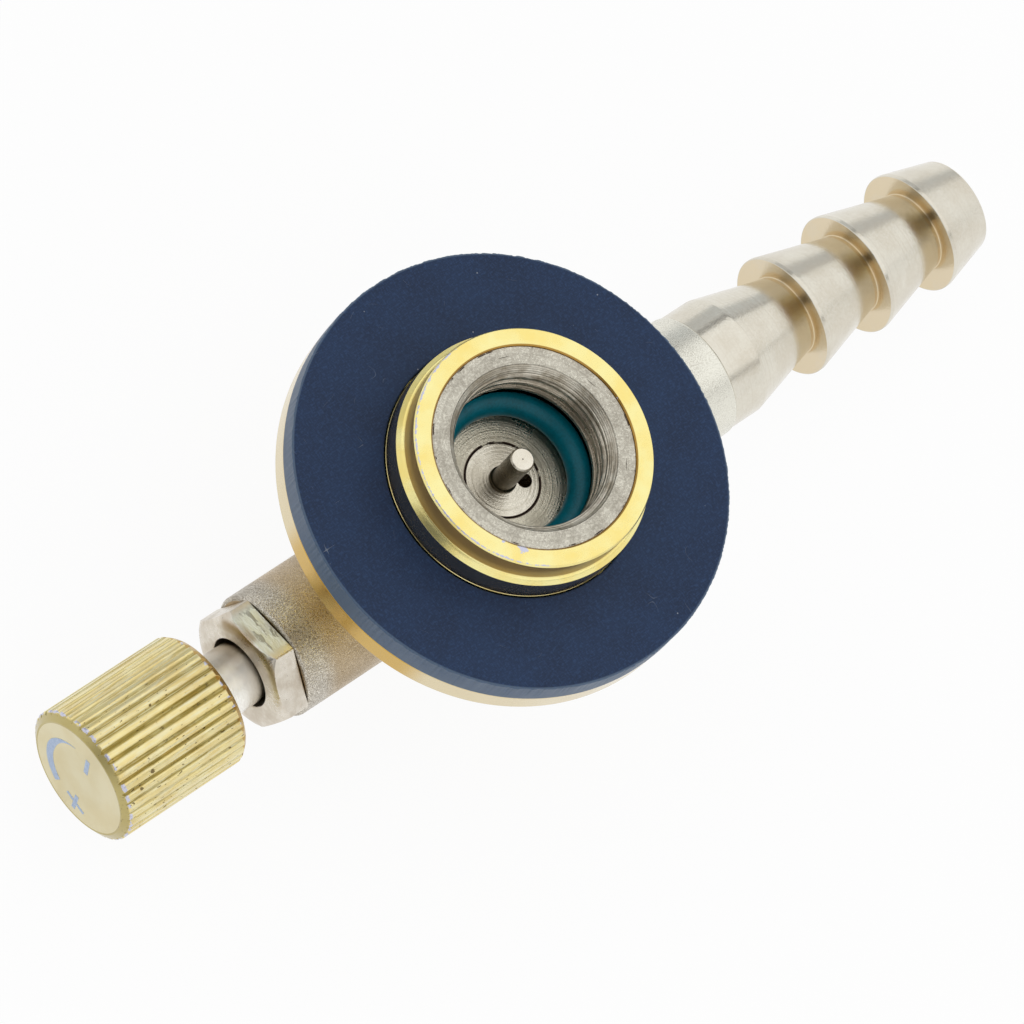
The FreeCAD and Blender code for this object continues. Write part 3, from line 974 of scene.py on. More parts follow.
    def hub_between(self, touch: np.ndarray, far: float) -> np.ndarray:
        """The drum's side between the two barrels: each height's arc from a line of touch to its mirror image.

        Args:
            touch: the line of touch at +X.
            far: the angle that lies opposite, pi or -pi.

        Returns:
            A grid with the heights in columns.
        """
        out, angle = np.hypot(touch[:, 0], touch[:, 1]), np.arctan2(touch[:, 1], touch[:, 0])
        share = np.linspace(0.0, 1.0, self.hub_steps + 1)[:, None]
        swept = angle + (far - 2 * angle) * share
        return np.stack([out * np.cos(swept), out * np.sin(swept), np.tile(touch[:, 2], (len(share), 1))], axis=-1)

    def foot_outline(self, touch: np.ndarray) -> np.ndarray:
        """The rest of the dome, from the lowest touch to the flat foot: its arc, then straight in to the middle.

        Args:
            touch: the lowest touch between barrel and drum.

        Returns:
            (place, radius) rows.
        """
        foot, (rise, inset) = VALVE.bottom, self.foot_bevel
        heights = np.linspace(touch[2], foot + rise, self.foot_rows)
        arc = VALVE.radius - self.dome_radius + np.sqrt(self.dome_radius**2 - (heights - self.dome_top) ** 2)
        flat = [(foot, self.foot_radius - inset), (foot, self.foot_radius * 0.6), (foot, 0.0)]
        return np.vstack([np.stack([heights, arc], axis=1), flat])

    def thread_wall(self, around: np.ndarray) -> np.ndarray:
        """The mouth's 45 degree chamfer and the right-hand thread, whichever is wider at each spot.

        The thread's radius rises from its crest to its root and back over one pitch of (height - pitch * turns).

        Args:
            around: the columns' angles.

        Returns:
            An outline for each column.
        """
        heights = np.linspace(VALVE.top - self.mouth_edge, VALVE.top - self.thread_depth, self.thread_rows)[:, None]
        phase = (heights / self.thread_pitch - around / (2 * math.pi)) % 1.0
        groove = ramp(*self.thread_groove, 1.0 - np.abs(2.0 * phase - 1.0))
        wall = self.thread_minor + (self.thread_major - self.thread_minor) * groove
        cone = self.mouth_radius - (VALVE.top - heights)
        return np.stack([np.tile(heights, (1, len(around))), np.maximum(wall, cone)], axis=-1)

    def inlet_outlines(self, hub_top: float, around: np.ndarray) -> tuple[np.ndarray, ...]:
        """The outlines of the inlet's side.

        Args:
            hub_top: the height of the highest touch between barrel and drum.
            around: the columns' angles.

        Returns:
            The drum's top, the boss, its chamfer and thread, and the bores below them down to the gas channel.
        """
        top, shoulder, floor, seat = VALVE.top, FLANGE.bottom, HOLDER.top, HOLDER.bottom
        edge, deep = shoulder - self.shoulder_edge, top - self.thread_depth
        drum = np.array([[hub_top, VALVE.radius], [edge, VALVE.radius]])
        boss = rounded([(edge, VALVE.radius, 0.0), (shoulder, VALVE.radius, 0.05), (shoulder, self.boss_radius, 0.0),
                        (top, self.boss_radius, 0.08), (top, self.mouth_radius, 0.04),
                        (top - self.mouth_edge, self.mouth_radius - self.mouth_edge, 0.0)])
        wall = self.thread_wall(around)
        below = rounded([(deep, self.thread_minor, 0.0), (deep, self.pocket_radius, 0.02),
                         (floor, self.pocket_radius, 0.3), (floor, HOLDER.radius + 0.02, 0.02),
                         (floor - self.lead_in, HOLDER.radius, 0.0), (seat, HOLDER.radius, 0.0),
                         (seat, self.filter_radius, 0.0), (seat - self.filter_thickness, self.filter_radius, 0.0),
                         (seat - self.filter_thickness, self.channel_radius, 0.1),
                         (self.channel_end, self.channel_radius, 0.0), (self.channel_end, 0.0, 0.0)])
        below = np.repeat(below[:, None, :], len(around), axis=1)
        below[0] = wall[-1]
        return drum, boss, wall, below

    def bore_corners(self, sign: float, end: float, bores: tuple[Span, ...]) -> list[Corner]:
        """The bores of one side, from the innermost out to a short lead-in and the barrel's end face.

        Args:
            sign: 1 on the hose tail's side, -1 on the knob's.
            end: the place of the end face.
            bores: where each bore starts, and its radius.

        Returns:
            (place, radius, rounding) corners.
        """
        corners, radius = [], 0.0
        for start, wider in bores:
            corners += [(start, radius, self.bore_rounding), (start, wider, self.bore_rounding)]
            radius = wider
        return corners + [(end - sign * self.lead_in, radius, 0.0), (end, radius + self.lead_in, 0.0),
                          (end, self.face_middle, 0.0)]

    def end_corners(self, sign: float, end: float) -> list[Corner]:
        """The outer part of a barrel's end face, its edge and a short land.

        Args:
            sign: 1 on the hose tail's side, -1 on the knob's.
            end: the place of the end face.

        Returns:
            (place, radius, rounding) corners.
        """
        edge = end - sign * self.barrel_edge
        return [(end, self.face_middle, 0.0), (end, self.barrel_radius - self.barrel_edge, 0.1),
                (edge, self.barrel_radius, 0.2), (edge - sign * self.end_land, self.barrel_radius, 0.0)]


@dataclass(frozen=True)
class InletFittings:
    """What sits on the inlet's floor: the seal ring, the pin and the insert that holds it."""

    ring_columns: int = 240
    ring_steps: int = 48
    flash_height: float = 0.03
    flash_width: float = 0.09
    pin_columns: int = 96
    pin_radius: float = 0.82
    foot_height: float = 0.15
    foot_taper: float = 0.1
    tip_chamfer: float = 0.1

    teal = Rubber("teal_rubber", (0.0, 0.19, 0.26), (0.0, 0.10, 0.13), 0.28, 0.002)
    insert = Brass("insert_brass", INLET, (0.80, 0.76, 0.65), (0.54, 0.49, 0.39), (0.2, 0.3), (0.2, 0.025),
                   (0.12, 0.004), seams=(Seam(2.55, 0.08, 0.75),))
    pin_tip = Brass("pin_tip_brass", INLET, (0.82, 0.78, 0.68), (0.7, 0.64, 0.52), (0.22, 0.32), (0.12, 0.006),
                    (0.1, 0.003), seams=(Seam(0.0, 0.07, 1.5),))
    # Dark brown shaft: painted shade and painted reflection of the dark bore round it.
    pin_shaft = Brass("pin_shaft_brass_painted_shade", INLET, (0.22, 0.18, 0.11), (0.10, 0.08, 0.05), (0.22, 0.32), (0.12, 0.02),
                      (0.1, 0.003))

    def build(self) -> None:
        """Build the ring and the pin, and dress the insert."""
        self.build_ring()
        self.build_pin()
        dress(self.insert, "pin_holder")

    def build_ring(self) -> None:
        """A round ring with a thin moulding flash on its inner and outer equator.

        The section's radius is the ring's own plus flash_height * exp(-(offset / flash_width)^2) at both sides.
        """
        reach = Reach.of("inlet_o_ring")
        section, middle = (reach.top - reach.bottom) / 2, (reach.top + reach.bottom) / 2
        turn = full_turn(self.ring_steps)
        flash = self.flash_height * np.exp(-((section * np.sin(turn) / self.flash_width) ** 2))
        out = section - self.flash_height + flash
        outline = np.stack([middle + out * np.sin(turn), reach.radius - section + out * np.cos(turn)], axis=1)
        skin = Skin()
        skin.add(INLET.carry(outline, full_turn(self.ring_columns)), close_rows=True)
        skin.piece("teal_seal_ring", (self.teal,), Body.FIXED, "inlet_o_ring")

    def build_pin(self) -> None:
        """The depressor pin, from its press fit in the insert up to its bright chamfered tip; the shaft's dark brown is
        painted shade and painted reflection of the dark bore round it.
        """
        pin, floor, radius = Reach.of("depressor_pin"), HOLDER.top, self.pin_radius
        foot, shoulder = floor + self.foot_height, pin.top - self.tip_chamfer
        skin = Skin()
        skin.turn(INLET, [(pin.bottom, 0.0, 0.0), (pin.bottom, radius, 0.0), (floor, radius, 0.0),
                          (floor, pin.radius, 0.0), (foot, pin.radius, 0.05), (foot + self.foot_taper, radius, 0.1),
                          (shoulder, radius, 0.0)], self.pin_columns)
        skin.turn(INLET, [(shoulder, radius, 0.0), (pin.top, radius - self.tip_chamfer, 0.03), (pin.top, 0.0, 0.0)],
                  self.pin_columns, 1)
        skin.piece("depressor_pin_turned", (self.pin_shaft, self.pin_tip), Body.FIXED,
                   "depressor_pin")


@dataclass(frozen=True)
class FlangeAndPad:
    """The gold flange with its stepped collar, and the rubber pad on it."""

    boss_radius: float = 6.94
    collar_radius: float = 8.65
    step_radius: float = 8.17
    ledge_height: float = 2.26
    ledge_bend_radius: float = 8.36
    ledge_bend_drop: float = 0.05
    ledge_fall: float = 0.28
    rim_inset: float = 0.1
    rim_drop: float = 0.18
    bore_bevel: float = 0.1
    bead_height: float = 0.06
    bead_width: float = 0.05
    columns: int = 288
    pad_gap: float = 0.1
    cut_depth: float = 0.1
    cut_waves: int = 380
    drawn_waves: int = 37
    seeds: tuple[int, int, int] = (11, 12, 13)
    cut_columns: int = 1900

    gold = GoldSkin(
        "gold_collar", INLET, (0.92, 0.84, 0.38), (0.93, 0.75, 0.24), 0.22, (0.1, 0.003),
        edges=tuple(WornEdge(FLANGE.top, *edge) for edge in (
            (8.08, 0.045, 1.0, 165.0, 75.0), (8.07, 0.08, 0.5, 125.0, 30.0), (8.07, 0.07, 0.5, -160.0, 22.0),
            (8.12, 0.09, 0.2), (6.96, 0.07, 0.25))),
        nicks=(Nick((-5.02, -5.0, 4.23), 0.34), Nick((-5.83, -3.96, 4.23), 0.14)),
        # Paler gold on the flange's outer rim: painted reflection of the white floor.
        zones=(Zone((-4.0, -1.95), (14.85, 16.0), (0.72, 0.61, 0.38), 0.2, blur=0.05),
               # Deep orange on the stretch of the rim that faces the knob: painted reflection.
               Zone((-4.0, -1.95), (14.7, 16.0), (0.60, 0.38, 0.07), 0.2, 186.0, 27.0),
               # Brown on the collar's step wall: painted reflection of the gold ledge and painted shade.
               Zone((2.3, 4.03), (8.0, 8.22), (0.54, 0.36, 0.14), 0.5),
               # Muted orange on the collar's wall below the ledge: painted reflection of the dark pad.
               Zone((0.04, 1.96), (8.5, 8.8), (0.74, 0.56, 0.36), 0.22),
               Zone((4.0, 4.225), (6.8, 7.06), (0.48, 0.27, 0.05), 0.35, blur=0.01)))
    navy = Rubber("navy_rubber", (0.017, 0.040, 0.100), (0.009, 0.023, 0.062), 0.42, 0.008, lint_share=0.06,
                  weave_depth=0.01, rim_radius=14.9)

    def build(self) -> None:
        """Build the flange and the pad."""
        self.build_collar()
        self.build_pad()

    def build_collar(self) -> None:
        """The flange and collar as one turned outline, with a fine bead where the collar leaves the pad's hole."""
        under, top, seat, ledge = FLANGE.bottom, FLANGE.top, PAD.bottom, self.ledge_height
        skin = Skin()
        skin.turn(INLET, [
            (under, self.boss_radius, 0.1), (under, FLANGE.radius, 0.15), (seat, FLANGE.radius, 0.15),
            (seat, self.collar_radius, 0.05), (-self.bead_height, self.collar_radius, 0.05),
            (0.0, self.collar_radius + self.bead_width, 0.03), (self.bead_height, self.collar_radius, 0.05),
            (ledge - self.ledge_fall, self.collar_radius, 0.06),
            (ledge - self.ledge_bend_drop, self.ledge_bend_radius, 0.4), (ledge, self.step_radius, 0.1),
            (top - self.rim_drop, self.step_radius, 0.05), (top, self.step_radius - self.rim_inset, 0.03),
            (top, self.boss_radius + self.bore_bevel, 0.03), (top - self.bore_bevel, self.boss_radius, 0.03)],
            self.columns, loop=True)
        skin.piece("gold_collar", (self.gold,), Body.FIXED, "flange_collar")

    def build_pad(self) -> None:
        """The pad, punched from sheet: its outer edge is torn a little, more at the top than at the bottom.

        The outer radius is the frame's minus cut_depth times a random closed curve, which fades towards the bottom.
        """
        count, low, high = self.cut_columns, PAD.bottom, PAD.top
        coarse, fine, slow = (wander(count, waves, seed) for waves, seed in zip(
            (self.cut_waves, self.cut_waves * 2, self.drawn_waves), self.seeds))
        torn, drawn = (coarse + fine) / 4 + 0.5, (slow + 1.0) / 2
        near_top = torn * (0.4 + 0.6 * drawn)
        inner = self.collar_radius + self.pad_gap
        outer = ((low, 0.15 * drawn), (high - 0.8, 0.5 * torn), (high - 0.25, near_top), (high, near_top))
        corners = rows(count, (low, inner), *((place, PAD.radius - self.cut_depth * cut) for place, cut in outer),
                       (high, inner))
        skin = Skin()
        outline = softened(corners, [0.1, 0.1, 0.3, 0.1, 0.1, 0.12], loop=True, steps=3)
        skin.add(INLET.carry(outline, full_turn(count)), close_rows=True)
        skin.piece("navy_pad", (self.navy,), Body.FIXED, "rubber_pad")


@dataclass(frozen=True)
class GlandNut:
    """The hexagon nut in the barrel's end, with a domed front."""

    across_flats: float = 8.0
    corner_round: float = 0.14
    corner_angle_deg: float = 43.0
    head_length: float = 2.05
    flat_length: float = 1.45
    face_radius: float = 3.0
    bore_radius: float = 2.55
    shank_radius: float = 3.5
    dome_middle_depth: float = 0.16
    dome_middle_radius: float = 0.62
    dome_rows: int = 9
    spots_per_flat: int = 8

    brass = Brass("nut_brass", BARREL, (0.78, 0.73, 0.64), (0.62, 0.55, 0.45), (0.26, 0.38), (0.2, 0.0),
                  (0.3, 0.006), tarnish_size=1.8, scratch_share=0.3,
                  zones=(Zone((-17.95, -15.9), (3.9, 4.8), (0.90, 0.92, 0.82), 0.6, 73.0, 29.0),
                         # Second zone: dark brown on the domed front beside the first flat, painted reflection of the
                         # knob's shaded rear face.
                         Zone((-18.2, -17.5), (3.3, 4.05), (0.38, 0.27, 0.15), 0.35, 58.0, 26.0, blur=0.2)),
                  torn=Zone((-17.9, -16.1), (3.95, 4.7), (0.50, 0.49, 0.41), 0.5, 73.0, 27.0, blur=0.05))

    def build(self) -> None:
        """Build the nut as one outline for each point round its hexagon.

        At a share of the way out to the corners, the face has fallen by share^n of the dome's depth, where n takes
        the curve through the dome's middle point.
        """
        nut = Reach.of("gland_nut")
        back = nut.left + self.head_length
        angle, out = self.hexagon()
        share = np.linspace(0.0, 1.0, self.dome_rows + 1)[1:, None]
        radius = self.face_radius + (out - self.face_radius) * share
        power = math.log(self.dome_middle_depth) / math.log(self.dome_middle_radius)
        fall = ((radius - self.face_radius) / (self.corner_out - self.face_radius)) ** power
        dome = nut.left + fall * (self.head_length - self.flat_length)
        corners = rows(len(angle), (nut.right, self.bore_radius), (nut.left, self.bore_radius),
                       (nut.left, self.face_radius), *zip(dome, radius), (back, out), (back, self.shank_radius),
                       (nut.right, self.shank_radius))
        radii = [0.1, 0.12, 0.1] + [0.0] * (self.dome_rows - 1) + [0.06, 0.06, 0.1, 0.15]
        skin = Skin()
        skin.add(BARREL.carry(softened(corners, radii, loop=True, steps=4), angle), close_rows=True)
        skin.piece("hex_gland_nut", (self.brass,), Body.FIXED, "gland_nut")

    @property
    def corner_out(self) -> float:
        """How far the hexagon's corners are out before they are rounded."""
        return self.across_flats / 2 / math.cos(math.pi / 6)

    def hexagon(self) -> tuple[np.ndarray, np.ndarray]:
        """Angles and radii round a hexagon with rounded corners, as a softened outline of six straight sides."""
        turns = math.radians(self.corner_angle_deg) + full_turn(6)
        corners = self.corner_out * np.stack([np.cos(turns), np.sin(turns)], axis=1)[:, None]
        share = np.linspace(0.0, 1.0, self.spots_per_flat, endpoint=False)[:, None]
        edges = corners + (np.roll(corners, -1, 0) - corners) * share
        radii = [self.corner_round] + [0.0] * (self.spots_per_flat - 1)
        outline = softened(edges.reshape(-1, 2), radii * 6, loop=True, steps=4)
        outline = outline[np.linalg.norm(outline - np.roll(outline, 1, 0), axis=1) > 1e-6]
        return np.arctan2(outline[:, 1], outline[:, 0]), np.hypot(outline[:, 0], outline[:, 1])


@dataclass(frozen=True)
class SpindleAndKnob:
    """The needle spindle, the fluted knob on its end and the marks on the knob's face.

    A mark's bar is its start, its end, half its width and how much lower it lies, to cross another.
    """

    stem_radius: float = 2.25
    seat_radius: float = 2.05
    thread_start: float = -10.025
    thread_end: float = -6.825
    thread_bevel: float = 0.35
    land_radius: float = 2.35
    groove_radius: float = 1.6
    groove_width: float = 1.1
    groove_fronts: Span = (-3.4, -1.8)
    land_front: float = -1.3
    needle_radius: float = 1.2
    needle_start: float = 0.25
    seat_place: float = 1.6
    needle_end_radius: float = 0.68
    tip_radius: float = 0.3
    rounding: float = 0.05
    spindle_columns: int = 96
    flutes: int = 38
    flute_depth: float = 0.2
    flute_seed: int = 5
    depth_change: float = 0.2
    shift_range: Span = (-0.05, 0.05)
    width_range: Span = (0.24, 0.32)
    land_crown: float = 0.05
    columns_per_flute: int = 16
    face_inset: float = 0.58
    face_chamfer: float = 0.38
    face_border: float = 0.12
    rear_inset: float = 0.32
    rear_chamfer: float = 0.4
    mark_height: float = 0.012
    arc_ends_deg: Span = (-71.0, 57.0)
    arc_radii: Span = (2.93, 2.74)
    arc_widths: Span = (0.325, 0.015)
    arc_ribs: int = 40
    arc_taper_start: float = 0.45
    bars: tuple[tuple[Span, Span, float, float], ...] = (
        ((0.31, 2.72), (-0.12, 1.33), 0.19, 0.0), ((-0.02, -2.62), (-1.82, -2.66), 0.13, 0.0),
        ((-0.72, -1.85), (-1.03, -3.38), 0.17, 0.004))
    bar_ribs: int = 6

    brass = Brass("stem_brass", BARREL, (1.0, 0.99, 0.94), (0.80, 0.77, 0.70), (0.1, 0.18), (0.1, 0.002),
                  (0.08, 0.006), grain_stain=0.45,
                  # Darker brown on one side of the stem: painted shade.
                  zones=(Zone((-30.0, -16.0), (2.0, 2.6), (0.50, 0.44, 0.35), 0.2, 22.0, 72.0, fade=0.5),
                         # Darker still beside the nut: painted shade and painted reflection of the nut's bore.
                         Zone((-19.2, -17.0), (2.2, 2.3), (0.36, 0.30, 0.23), 0.16, blur=0.5)))
    # Paler, greyer gold on the knob's face: a matt faced finish, with painted reflection of the white floor in its
    # colour.
    face = GoldSkin("gold_face", BARREL, (0.73, 0.66, 0.43), (0.71, 0.62, 0.37), 0.4, (0.08, 0.004))
    ink = Plain("pale_marks", (0.55, 0.66, 0.86), (0.45, 0.57, 0.78), 0.5, (0.15, 0.002))

    def gold(self) -> GoldSkin:
        """The fluted wall's finish, worn at both of its chamfers."""
        front, rear = KNOB.left + self.face_chamfer, KNOB.right - self.rear_chamfer
        pits = tuple(Nick(BARREL.spot(place, KNOB.radius, angle), size) for place, angle, size in (
            (-26.74, 79.0, 0.12), (-29.0, 123.0, 0.16), (-30.17, 131.0, 0.12), (-24.81, 128.0, 0.1),
            (-27.91, 128.0, 0.1), (-31.0, 138.0, 0.12), (-26.09, 119.0, 0.09)))
        return GoldSkin(
            "gold_knob", BARREL, (0.88, 0.76, 0.36), (0.78, 0.62, 0.26), 0.28, (0.15, 0.001),
            Flutes((4.76, 4.64), 0.8, front, 0.4, pit_share=0.05, pit_angle_deg=125.0, pits=pits),
            edges=(WornEdge(front, 4.8, 0.15, 0.62), WornEdge(rear, 4.8, 0.11, 0.3)),
            nicks=tuple(Nick(BARREL.spot(rear, KNOB.radius, angle), 0.16) for angle in (75.0, 95.0, 107.0, 115.0)),
            # Darker brown on the rear chamfer: painted shade.
            zones=(Zone((rear, rear + 0.5), (4.3, 4.9), (0.60, 0.42, 0.15), 0.35),))

    def build(self) -> None:
        """Build the spindle, the knob and the marks."""
        self.build_spindle()
        self.build_knob()
        self.build_marks()

    def build_spindle(self) -> None:
        """The spindle as one turned outline, from the knob's seat to the needle's tip."""
        stem, thread, land, bevel = self.stem_radius, SPINDLE.radius, self.land_radius, self.thread_bevel
        corners = [(SPINDLE.left, 0.0), (SPINDLE.left, self.seat_radius), (KNOB.right, self.seat_radius),
                   (KNOB.right, stem), (self.thread_start, stem), (self.thread_start, thread - bevel),
                   (self.thread_start + bevel, thread), (self.thread_end - bevel, thread),
                   (self.thread_end, thread - bevel), (self.thread_end, land)]
        for front in self.groove_fronts:
            start = front - self.groove_width
            corners += [(start, land), (start, self.groove_radius), (front, self.groove_radius), (front, land)]
        corners += [(self.land_front, land), (self.land_front, self.needle_radius),
                    (self.needle_start, self.needle_radius), (self.seat_place, self.needle_end_radius),
                    (SPINDLE.right, self.tip_radius), (SPINDLE.right, 0.0)]
        skin = Skin()
        skin.turn(BARREL, [(*corner, self.rounding) for corner in corners], self.spindle_columns)
        skin.piece("needle_spindle", (self.brass,), Body.SPINDLE, "spindle")

    def flute_radius(self) -> np.ndarray:
        """The knob's radius round one turn: crowned lands with round grooves, each cut a little differently.

        The radius is the knob's minus depth * (1 - smooth step of the distance from the groove's middle), minus
        crown * (distance from the land's middle)^2.
        """
        draw = np.random.default_rng(self.flute_seed)
        depth = self.flute_depth * (1.0 + self.depth_change * draw.uniform(-1.0, 1.0, self.flutes))
        shift = draw.uniform(*self.shift_range, self.flutes)
        width = draw.uniform(*self.width_range, self.flutes)
        phase = (np.arange(self.columns_per_flute) + 0.5) / self.columns_per_flute
        away = np.abs(phase - 0.5 - shift[:, None])
        groove = 1.0 - ramp(0.0, 1.0, away / width[:, None])
        crown = self.land_crown * (1.0 - 2.0 * np.minimum(away, 0.5)) ** 2
        lowered = np.minimum(depth[:, None] * groove + crown, self.rear_inset - 0.02)
        return (KNOB.radius - lowered).ravel()

    def build_knob(self) -> None:
        """The knob as one outline for each column round it, so that the chamfer cuts each flute at its own depth."""
        front, back, seat_end, seat = KNOB.left, KNOB.right, SPINDLE.left, self.seat_radius
        wall = self.flute_radius()
        angles = full_turn(len(wall))
        face_radius, rear_radius = KNOB.radius - self.face_inset, KNOB.radius - self.rear_inset
        crease = front + (wall - face_radius) * self.face_chamfer / self.face_inset
        rear_crease = back - (wall - rear_radius) * self.rear_chamfer / self.rear_inset
        face, border = front + self.mark_height, face_radius - self.face_border
        rim = rows(len(wall), (face, border), (front, face_radius), (crease, wall), (rear_crease, wall),
                   (back, rear_radius), (back, seat), (seat_end, seat), (seat_end, 0.0))
        skin = Skin()
        skin.add(BARREL.carry(np.array([[face, 0.0], [face, face_radius * 0.5], [face, border]]), angles), 1)
        skin.add(BARREL.carry(softened(rim, [0, 0.06, 0.04, 0.04, 0.05, 0.05, 0.05, 0], steps=3), angles))
        skin.piece("fluted_knob", (self.gold(), self.face), Body.SPINDLE, "knob")

    def stroke(self, middle: np.ndarray, square: np.ndarray, sunk: float = 0.0) -> np.ndarray:
        """A thin raised stroke on the knob's face.

        Args:
            middle: its middle line as (y, z) from the knob's axis.
            square: the vectors from that line to one of its edges.
            sunk: how much lower than the other marks it lies.

        Returns:
            A grid with the stroke's ribs in columns.
        """
        front = KNOB.left + sunk
        base = front + self.mark_height * 1.5
        edges = np.stack([middle + square, middle + square, middle - square, middle - square])
        place = np.broadcast_to(np.array([base, front, front, base])[:, None, None], (*edges.shape[:2], 1))
        return np.concatenate([place, edges + np.array([0.0, BARREL_HEIGHT])], axis=-1)

    def build_marks(self) -> None:
        """The turning arc, the minus and the plus: each is a stroke whose ends are closed by its first and last rib."""
        sweep = np.radians(np.linspace(*self.arc_ends_deg, self.arc_ribs))
        share = np.linspace(0.0, 1.0, self.arc_ribs)
        wide, thin = self.arc_widths
        middle = self.arc_radii[0] + (self.arc_radii[1] - self.arc_radii[0]) * share
        half = (wide - thin) * (1.0 - ramp(self.arc_taper_start, 1.0, share)) + thin
        way = np.stack([np.cos(sweep), np.sin(sweep)], axis=1)
        strokes = [self.stroke(way * middle[:, None], way * half[:, None])]
        for start, end, width, sunk in self.bars:
            line = np.linspace(start, end, self.bar_ribs)
            square = np.array([end[1] - start[1], start[0] - end[0]]) / math.dist(start, end) * width
            strokes.append(self.stroke(line, square, sunk))
        skin = Skin()
        for ribs in strokes:
            skin.add(ribs, close_rows=True, close_columns=False)
            for end in (0, -1):
                skin.add(ribs[:, end].reshape(2, 2, 3), close_columns=False)
        skin.piece("knob_marks", (self.ink,), Body.SPINDLE)


@dataclass(frozen=True)
class HoseTail:
    """The turned hose tail: a base against the barrel, a long cone and three ridges."""

    base_radius: float = 4.38
    base_start: float = 22.155
    base_length: float = 2.725
    entry_length: float = 5.67
    thread_radius: float = 3.5
    bore_radius: float = 2.0
    bore_bevel: float = 0.15
    neck_radius: float = 2.94
    ridges: int = 3
    ridge_pitch: float = 6.02
    ridge_land: float = 0.3
    tip_radius: float = 3.44
    undercut: float = 0.28
    neck_taper: float = 0.26
    step_fillet: float = 0.06
    edge: float = 0.05
    columns: int = 192

    @property
    def base_end(self) -> float:
        """Where the base ends and the first cone begins."""
        return self.base_start + self.base_length

    def ridge_places(self) -> list[float]:
        """Where the ridges' steps are."""
        return [self.base_end + self.entry_length + number * self.ridge_pitch for number in range(self.ridges)]

    def finish(self) -> Brass:
        """Bright turned brass, with a darker tan in front of each ridge that is painted reflection."""
        # Tan on each step face and the neck beside it: painted reflection of the neighbouring brass.
        zones = tuple(Zone((place - 0.1, place + 0.33), (2.8, 4.40), (0.72, 0.61, 0.43), 0.22, blur=0.04)
                      for place in self.ridge_places())
        return Brass("tail_brass", BARREL, (0.75, 0.72, 0.63), (0.67, 0.62, 0.52), (0.17, 0.24), (0.12, 0.003),
                     (0.2, 0.002), zones=zones)

    def build(self) -> None:
        """Build the tail as one turned outline round its bore. The ridges' faces lean back over the cones."""
        tail, bore, start = Reach.of("hose_tail"), self.bore_radius, self.base_start
        corners = [(tail.left, bore, 0.1), (tail.left, self.thread_radius, 0.2), (start, self.thread_radius, 0.0),
                   (start, self.base_radius, 0.03), (self.base_end, self.base_radius, 0.5)]
        for ridge in self.ridge_places():
            corners += [(ridge + self.undercut, self.neck_radius - self.neck_taper * self.undercut, self.step_fillet),
                        (ridge, tail.radius, self.edge), (ridge + self.ridge_land, tail.radius, self.edge)]
        corners += [(tail.right, self.tip_radius, 0.15), (tail.right, bore + self.bore_bevel, 0.05),
                    (tail.right - self.bore_bevel, bore, 0.05)]
        skin = Skin()
        skin.turn(BARREL, corners, self.columns, loop=True)
        skin.piece("ridged_tail", (self.finish(),), Body.FIXED, "hose_tail")


def dress(finish: Finish, *nodes: str) -> None:
    """Give CAD nodes that keep their own meshes a finish.

    Args:
        finish: the finish.
        nodes: the nodes' names.
    """
    material = finish.make()
    for node in nodes:
        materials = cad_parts[node].data.materials
        materials.clear()
        materials.append(material)
        log.info("%s keeps its CAD mesh", node)


@dataclass(frozen=True)
class InnerPieces:
    """The pieces inside the valve, which keep their CAD meshes."""

    # Dark sintered bronze, darkened towards black as painted shade of the deep gas channel.
    bronze = Plain("sintered_bronze", (0.12, 0.08, 0.05), (0.04, 0.025, 0.015), 0.7, (0.15, 0.05), metallic=1.0)
    plastic = Plain("white_plastic", (0.86, 0.85, 0.81), (0.8, 0.79, 0.74), 0.45, (0.3, 0.004))
    fibre = Plain("red_fibre", (0.45, 0.09, 0.05), (0.3, 0.05, 0.03), 0.8, (0.2, 0.01))
    black = Rubber("black_rubber", (0.02, 0.02, 0.02), (0.012, 0.012, 0.012), 0.4, 0.002)

    def build(self) -> None:
        """Dress the filter, both washers and both of the spindle's seal rings."""
        dress(self.bronze, "inlet_filter")
        dress(self.plastic, "gland_washer")
        dress(self.fibre, "tail_washer")
        dress(self.black, "spindle_o_ring_front", "spindle_o_ring_rear")


@dataclass(frozen=True)
class Card:
    """A card in the light tent that gives the gloss something darker to mirror."""

    name: str
    corners_m: tuple[Point, ...]
    grey: Colour

    def hang(self) -> None:
        """Hang the card; the camera doesn't see it."""
        mesh = bpy.data.meshes.new(self.name)
        mesh.from_pydata(list(self.corners_m), [], [(0, 1, 2, 3)])
        sheet = NodeSheet(self.name, "Emission")
        sheet.feed(sheet.shader, {"Color": self.grey})
        mesh.materials.append(sheet.material)
        card = put(self.name, mesh)
        card.visible_camera = False


